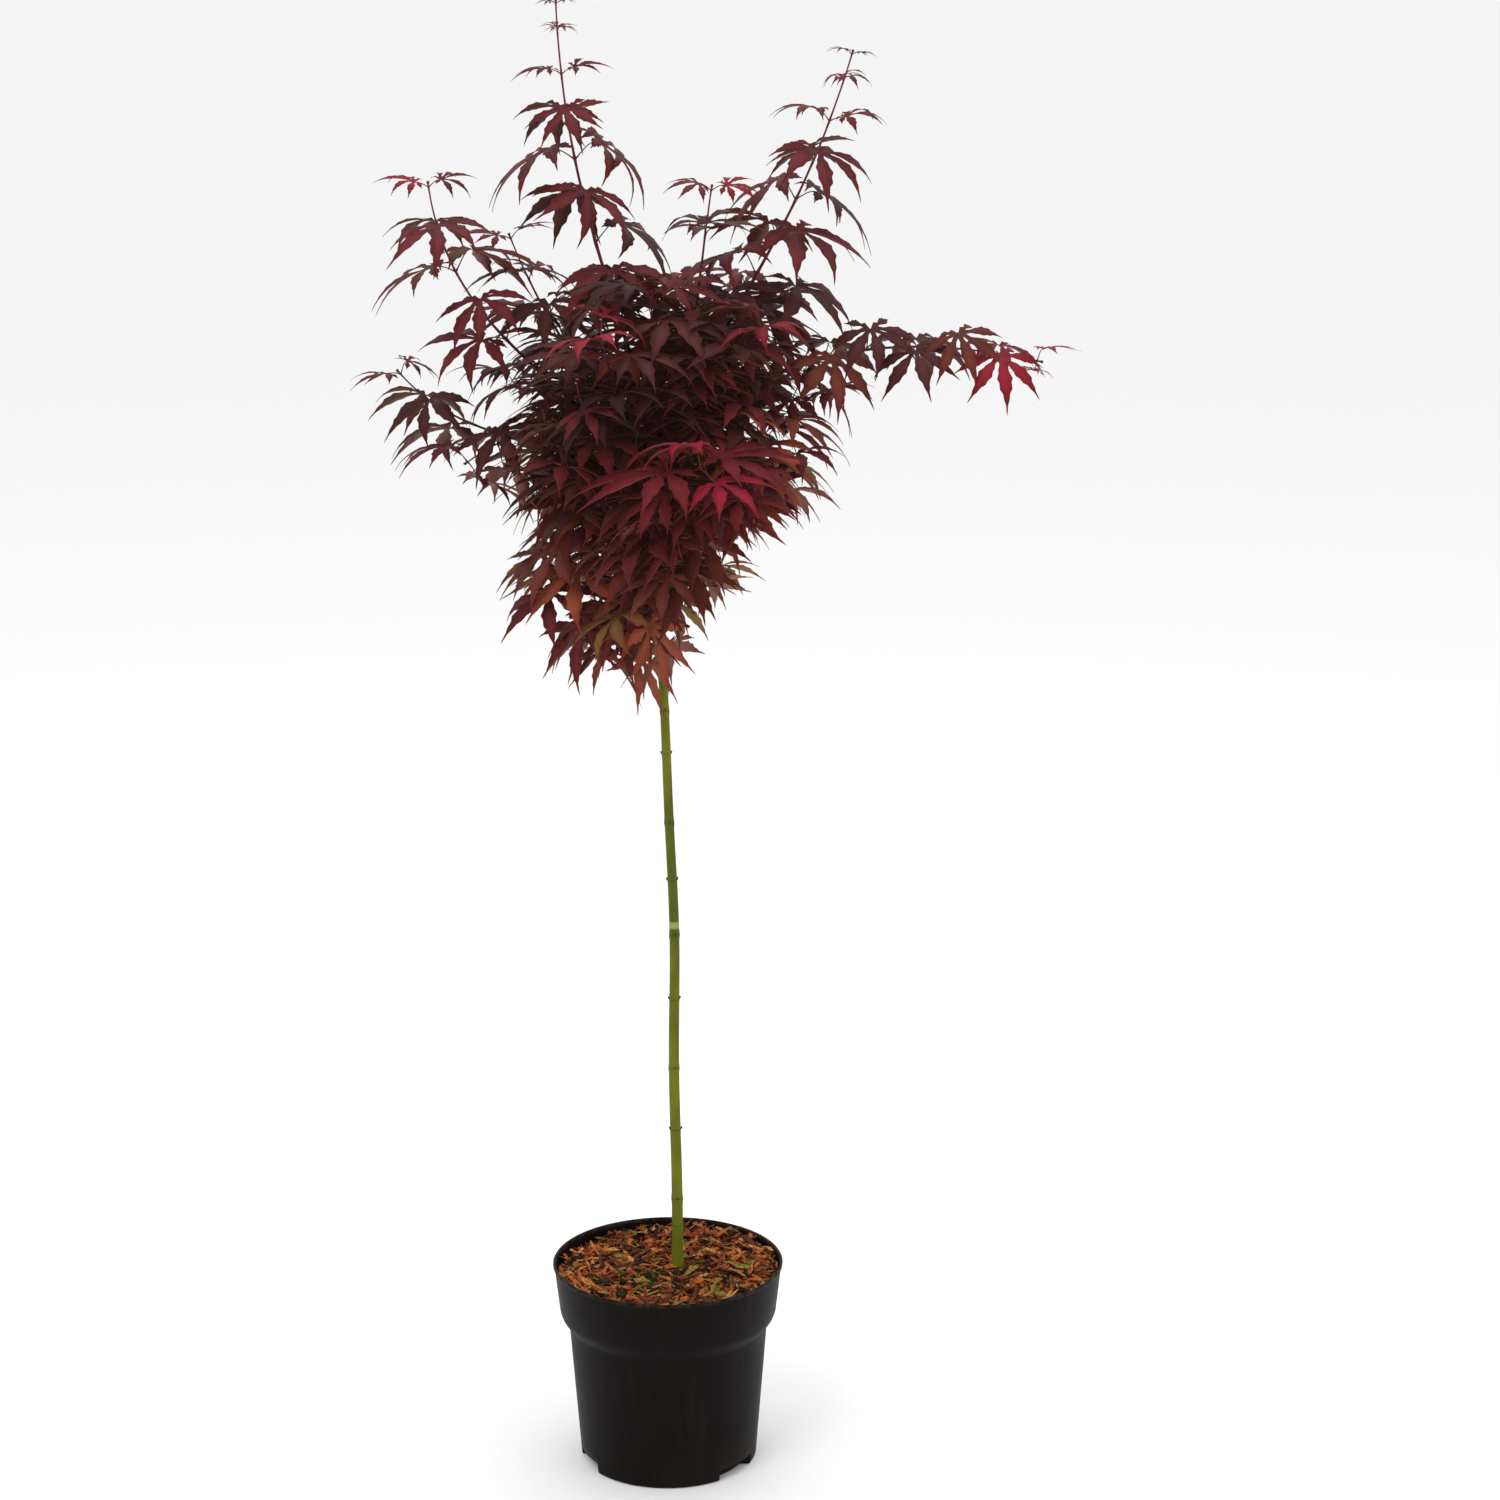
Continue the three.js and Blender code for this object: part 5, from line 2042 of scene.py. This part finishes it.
    def build_stalks(self) -> None:
        """Builds every leaf's stalk as one piece: slim, bowed up, and thicker at its foot."""
        shape = bmesh.new()
        for leaf in [leaf for leaves in self.leaves.values() for leaf in leaves]:
            reach = (leaf.heel - leaf.node).length
            into = leaf.heel + leaf.forward * leaf.size * self.stalk_in_leaf
            bow = leaf.node + leaf.stalk_way * reach * self.stalk_bow[0] + UP * reach * self.stalk_bow[1]
            hand = leaf.heel - leaf.forward * reach * self.stalk_hand[0] + UP * reach * self.stalk_hand[1]
            path = Path(interpolate_bezier(leaf.node, bow, hand, into, self.curve_points))
            thick = self.stalk_radius * lerp(*self.stalk_range, leaf.size / self.leaf_length)

            def radius_at(share: float, turn: float, thick: float = thick) -> float:
                """Returns the stalk's radius at a share of its length, which is the same all round."""
                foot = self.stalk_foot * math.exp(-share * self.stalk_foot_fall)
                return thick * (1.0 + foot - self.stalk_taper * share)

            add_tube(shape, path, radius_at, self.stalk_sides, self.stalk_steps)
        stalks = finished("leaf_stalks", shape, [StalkSkin().make()])
        logger.info("leaf stalks: %d faces", len(stalks.data.polygons))

    def build_leaves(self) -> None:
        """Builds the leaves as a few pieces, one to a storey of the crown, each with its plain tints."""
        finishes = {}
        for tint in LeafTint:
            upper, under = tint.value
            name = "leaf_" + tint.name.lower()
            finishes[tint] = (LeafSkin(name, upper).make(), LeafSkin(name + "_under", under).make())
        per_storey = math.ceil(len(LIMBS) / self.storeys)
        for storey in range(self.storeys):
            limbs = LIMBS[storey * per_storey : (storey + 1) * per_storey]
            leaves = [leaf for limb in limbs for leaf in self.leaves[limb.name]]
            tints = [tint for tint in LeafTint if any(leaf.tint is tint for leaf in leaves)]
            shape = bmesh.new()
            for leaf in leaves:
                blade = tinted_copy(self.patterns.meshes[leaf.habit][leaf.form], 2 * tints.index(leaf.tint))
                join(shape, blade, self.leaf_matrix(leaf))
            both_faces = [finish for tint in tints for finish in finishes[tint]]
            piece = finished(f"leaves_storey_{storey + 1}", shape, both_faces)
            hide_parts(*["foliage_" + limb.name for limb in limbs])
            faces = len(piece.data.polygons)
            logger.info("leaves, storey %d: %d leaves, %d faces", storey + 1, len(leaves), faces)


# The studio


@dataclass(frozen=True)
class Lamp:
    """A large round soft lamp: where it hangs, how wide it is, and its power in watts."""

    name: str
    place: tuple[float, float, float]
    size: float
    power: float


@dataclass
class Studio:
    """A plain pale floor, soft light from large lamps, and the camera at the photograph's angle."""

    camera_place: tuple[float, float, float] = (0.0858, -3.338, 1.600)
    camera_tilt: float = 14.04
    lens: float = 82.03
    sensor_width: float = 36.0
    lamps: tuple[Lamp, ...] = (
        Lamp("key_lamp", (-1.6, -2.4, 3.6), 2.0, 44.0),
        Lamp("fill_lamp", (2.8, -2.0, 2.0), 2.4, 12.0),
        Lamp("top_lamp", (0.2, 0.8, 4.0), 2.6, 34.0),
    )
    lit_point: tuple[float, float, float] = (0.0, 0.0, 0.9)
    floor_size: float = 240.0
    floor_drop: float = 0.0002
    floor_colour: tuple[float, float, float, float] = (0.9, 0.9, 0.9, 1.0)
    floor_roughness: float = 0.9

    def build(self) -> None:
        """Sets up the floor, the lights, the camera and plain colours."""
        bpy.context.scene.view_settings.view_transform = "Standard"
        self._lay_floor()
        self._light_sky()
        for lamp in self.lamps:
            self._hang_lamp(lamp)
        self._place_camera()
        logger.info("studio: floor, sky, %d lamps and camera", len(self.lamps))

    def _place_camera(self) -> None:
        """Places the camera where the photograph's stood and makes it the scene's."""
        data = bpy.data.cameras.new("camera")
        data.lens = self.lens
        data.sensor_width = self.sensor_width
        data.sensor_fit = "HORIZONTAL"
        camera = bpy.data.objects.new("camera", data)
        camera.location = self.camera_place
        camera.rotation_euler = (math.radians(90.0 - self.camera_tilt), 0.0, 0.0)
        bpy.context.scene.collection.objects.link(camera)
        bpy.context.scene.camera = camera

    def _lay_floor(self) -> None:
        """Lays the pale floor under the pot."""
        shape = bmesh.new()
        bmesh.ops.create_grid(shape, x_segments=1, y_segments=1, size=self.floor_size / 2)
        mesh = as_mesh(shape, "floor")
        graph = Graph("floor_paint")
        graph.surface(Base_Color=self.floor_colour, Roughness=self.floor_roughness)
        mesh.materials.append(graph.material)
        floor = bpy.data.objects.new("floor", mesh)
        floor.location.z = -self.floor_drop
        bpy.context.scene.collection.objects.link(floor)

    @staticmethod
    def _light_sky() -> None:
        """Fills the room with even white light."""
        world = bpy.data.worlds.new("studio")
        world.use_nodes = True
        sky = world.node_tree.nodes["Background"]
        sky.inputs["Color"].default_value = (1.0, 1.0, 1.0, 1.0)
        sky.inputs["Strength"].default_value = 1.0
        bpy.context.scene.world = world

    def _hang_lamp(self, lamp: Lamp) -> None:
        """Hangs a lamp so that it faces the plant.

        Args:
            lamp: the lamp.
        """
        data = bpy.data.lights.new(lamp.name, "AREA")
        data.shape = "DISK"
        data.size = lamp.size
        data.energy = lamp.power
        hung = bpy.data.objects.new(lamp.name, data)
        hung.location = lamp.place
        facing = Vector(self.lit_point) - Vector(lamp.place)
        hung.rotation_euler = facing.to_track_quat("-Z", "Y").to_euler()
        bpy.context.scene.collection.objects.link(hung)


def main() -> None:
    """Loads the frame and builds the whole plant, its pot and the studio."""
    logging.basicConfig(level=logging.INFO, format="%(name)s: %(message)s")
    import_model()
    Studio().build()
    pot = NurseryPot()
    pot.build()
    MulchBed().build(pot)
    trunk = Trunk()
    patterns = LeafPatterns()
    patterns.build()
    crown = Crown(trunk, patterns)
    crown.grow()
    trunk.build(LIMBS, crown.build_boughs())
    crown.build_stalks()
    crown.build_leaves()
    for mesh in [mesh for mesh in bpy.data.meshes if mesh.users == 0]:
        bpy.data.meshes.remove(mesh)


if __name__ == "__main__":
    main()
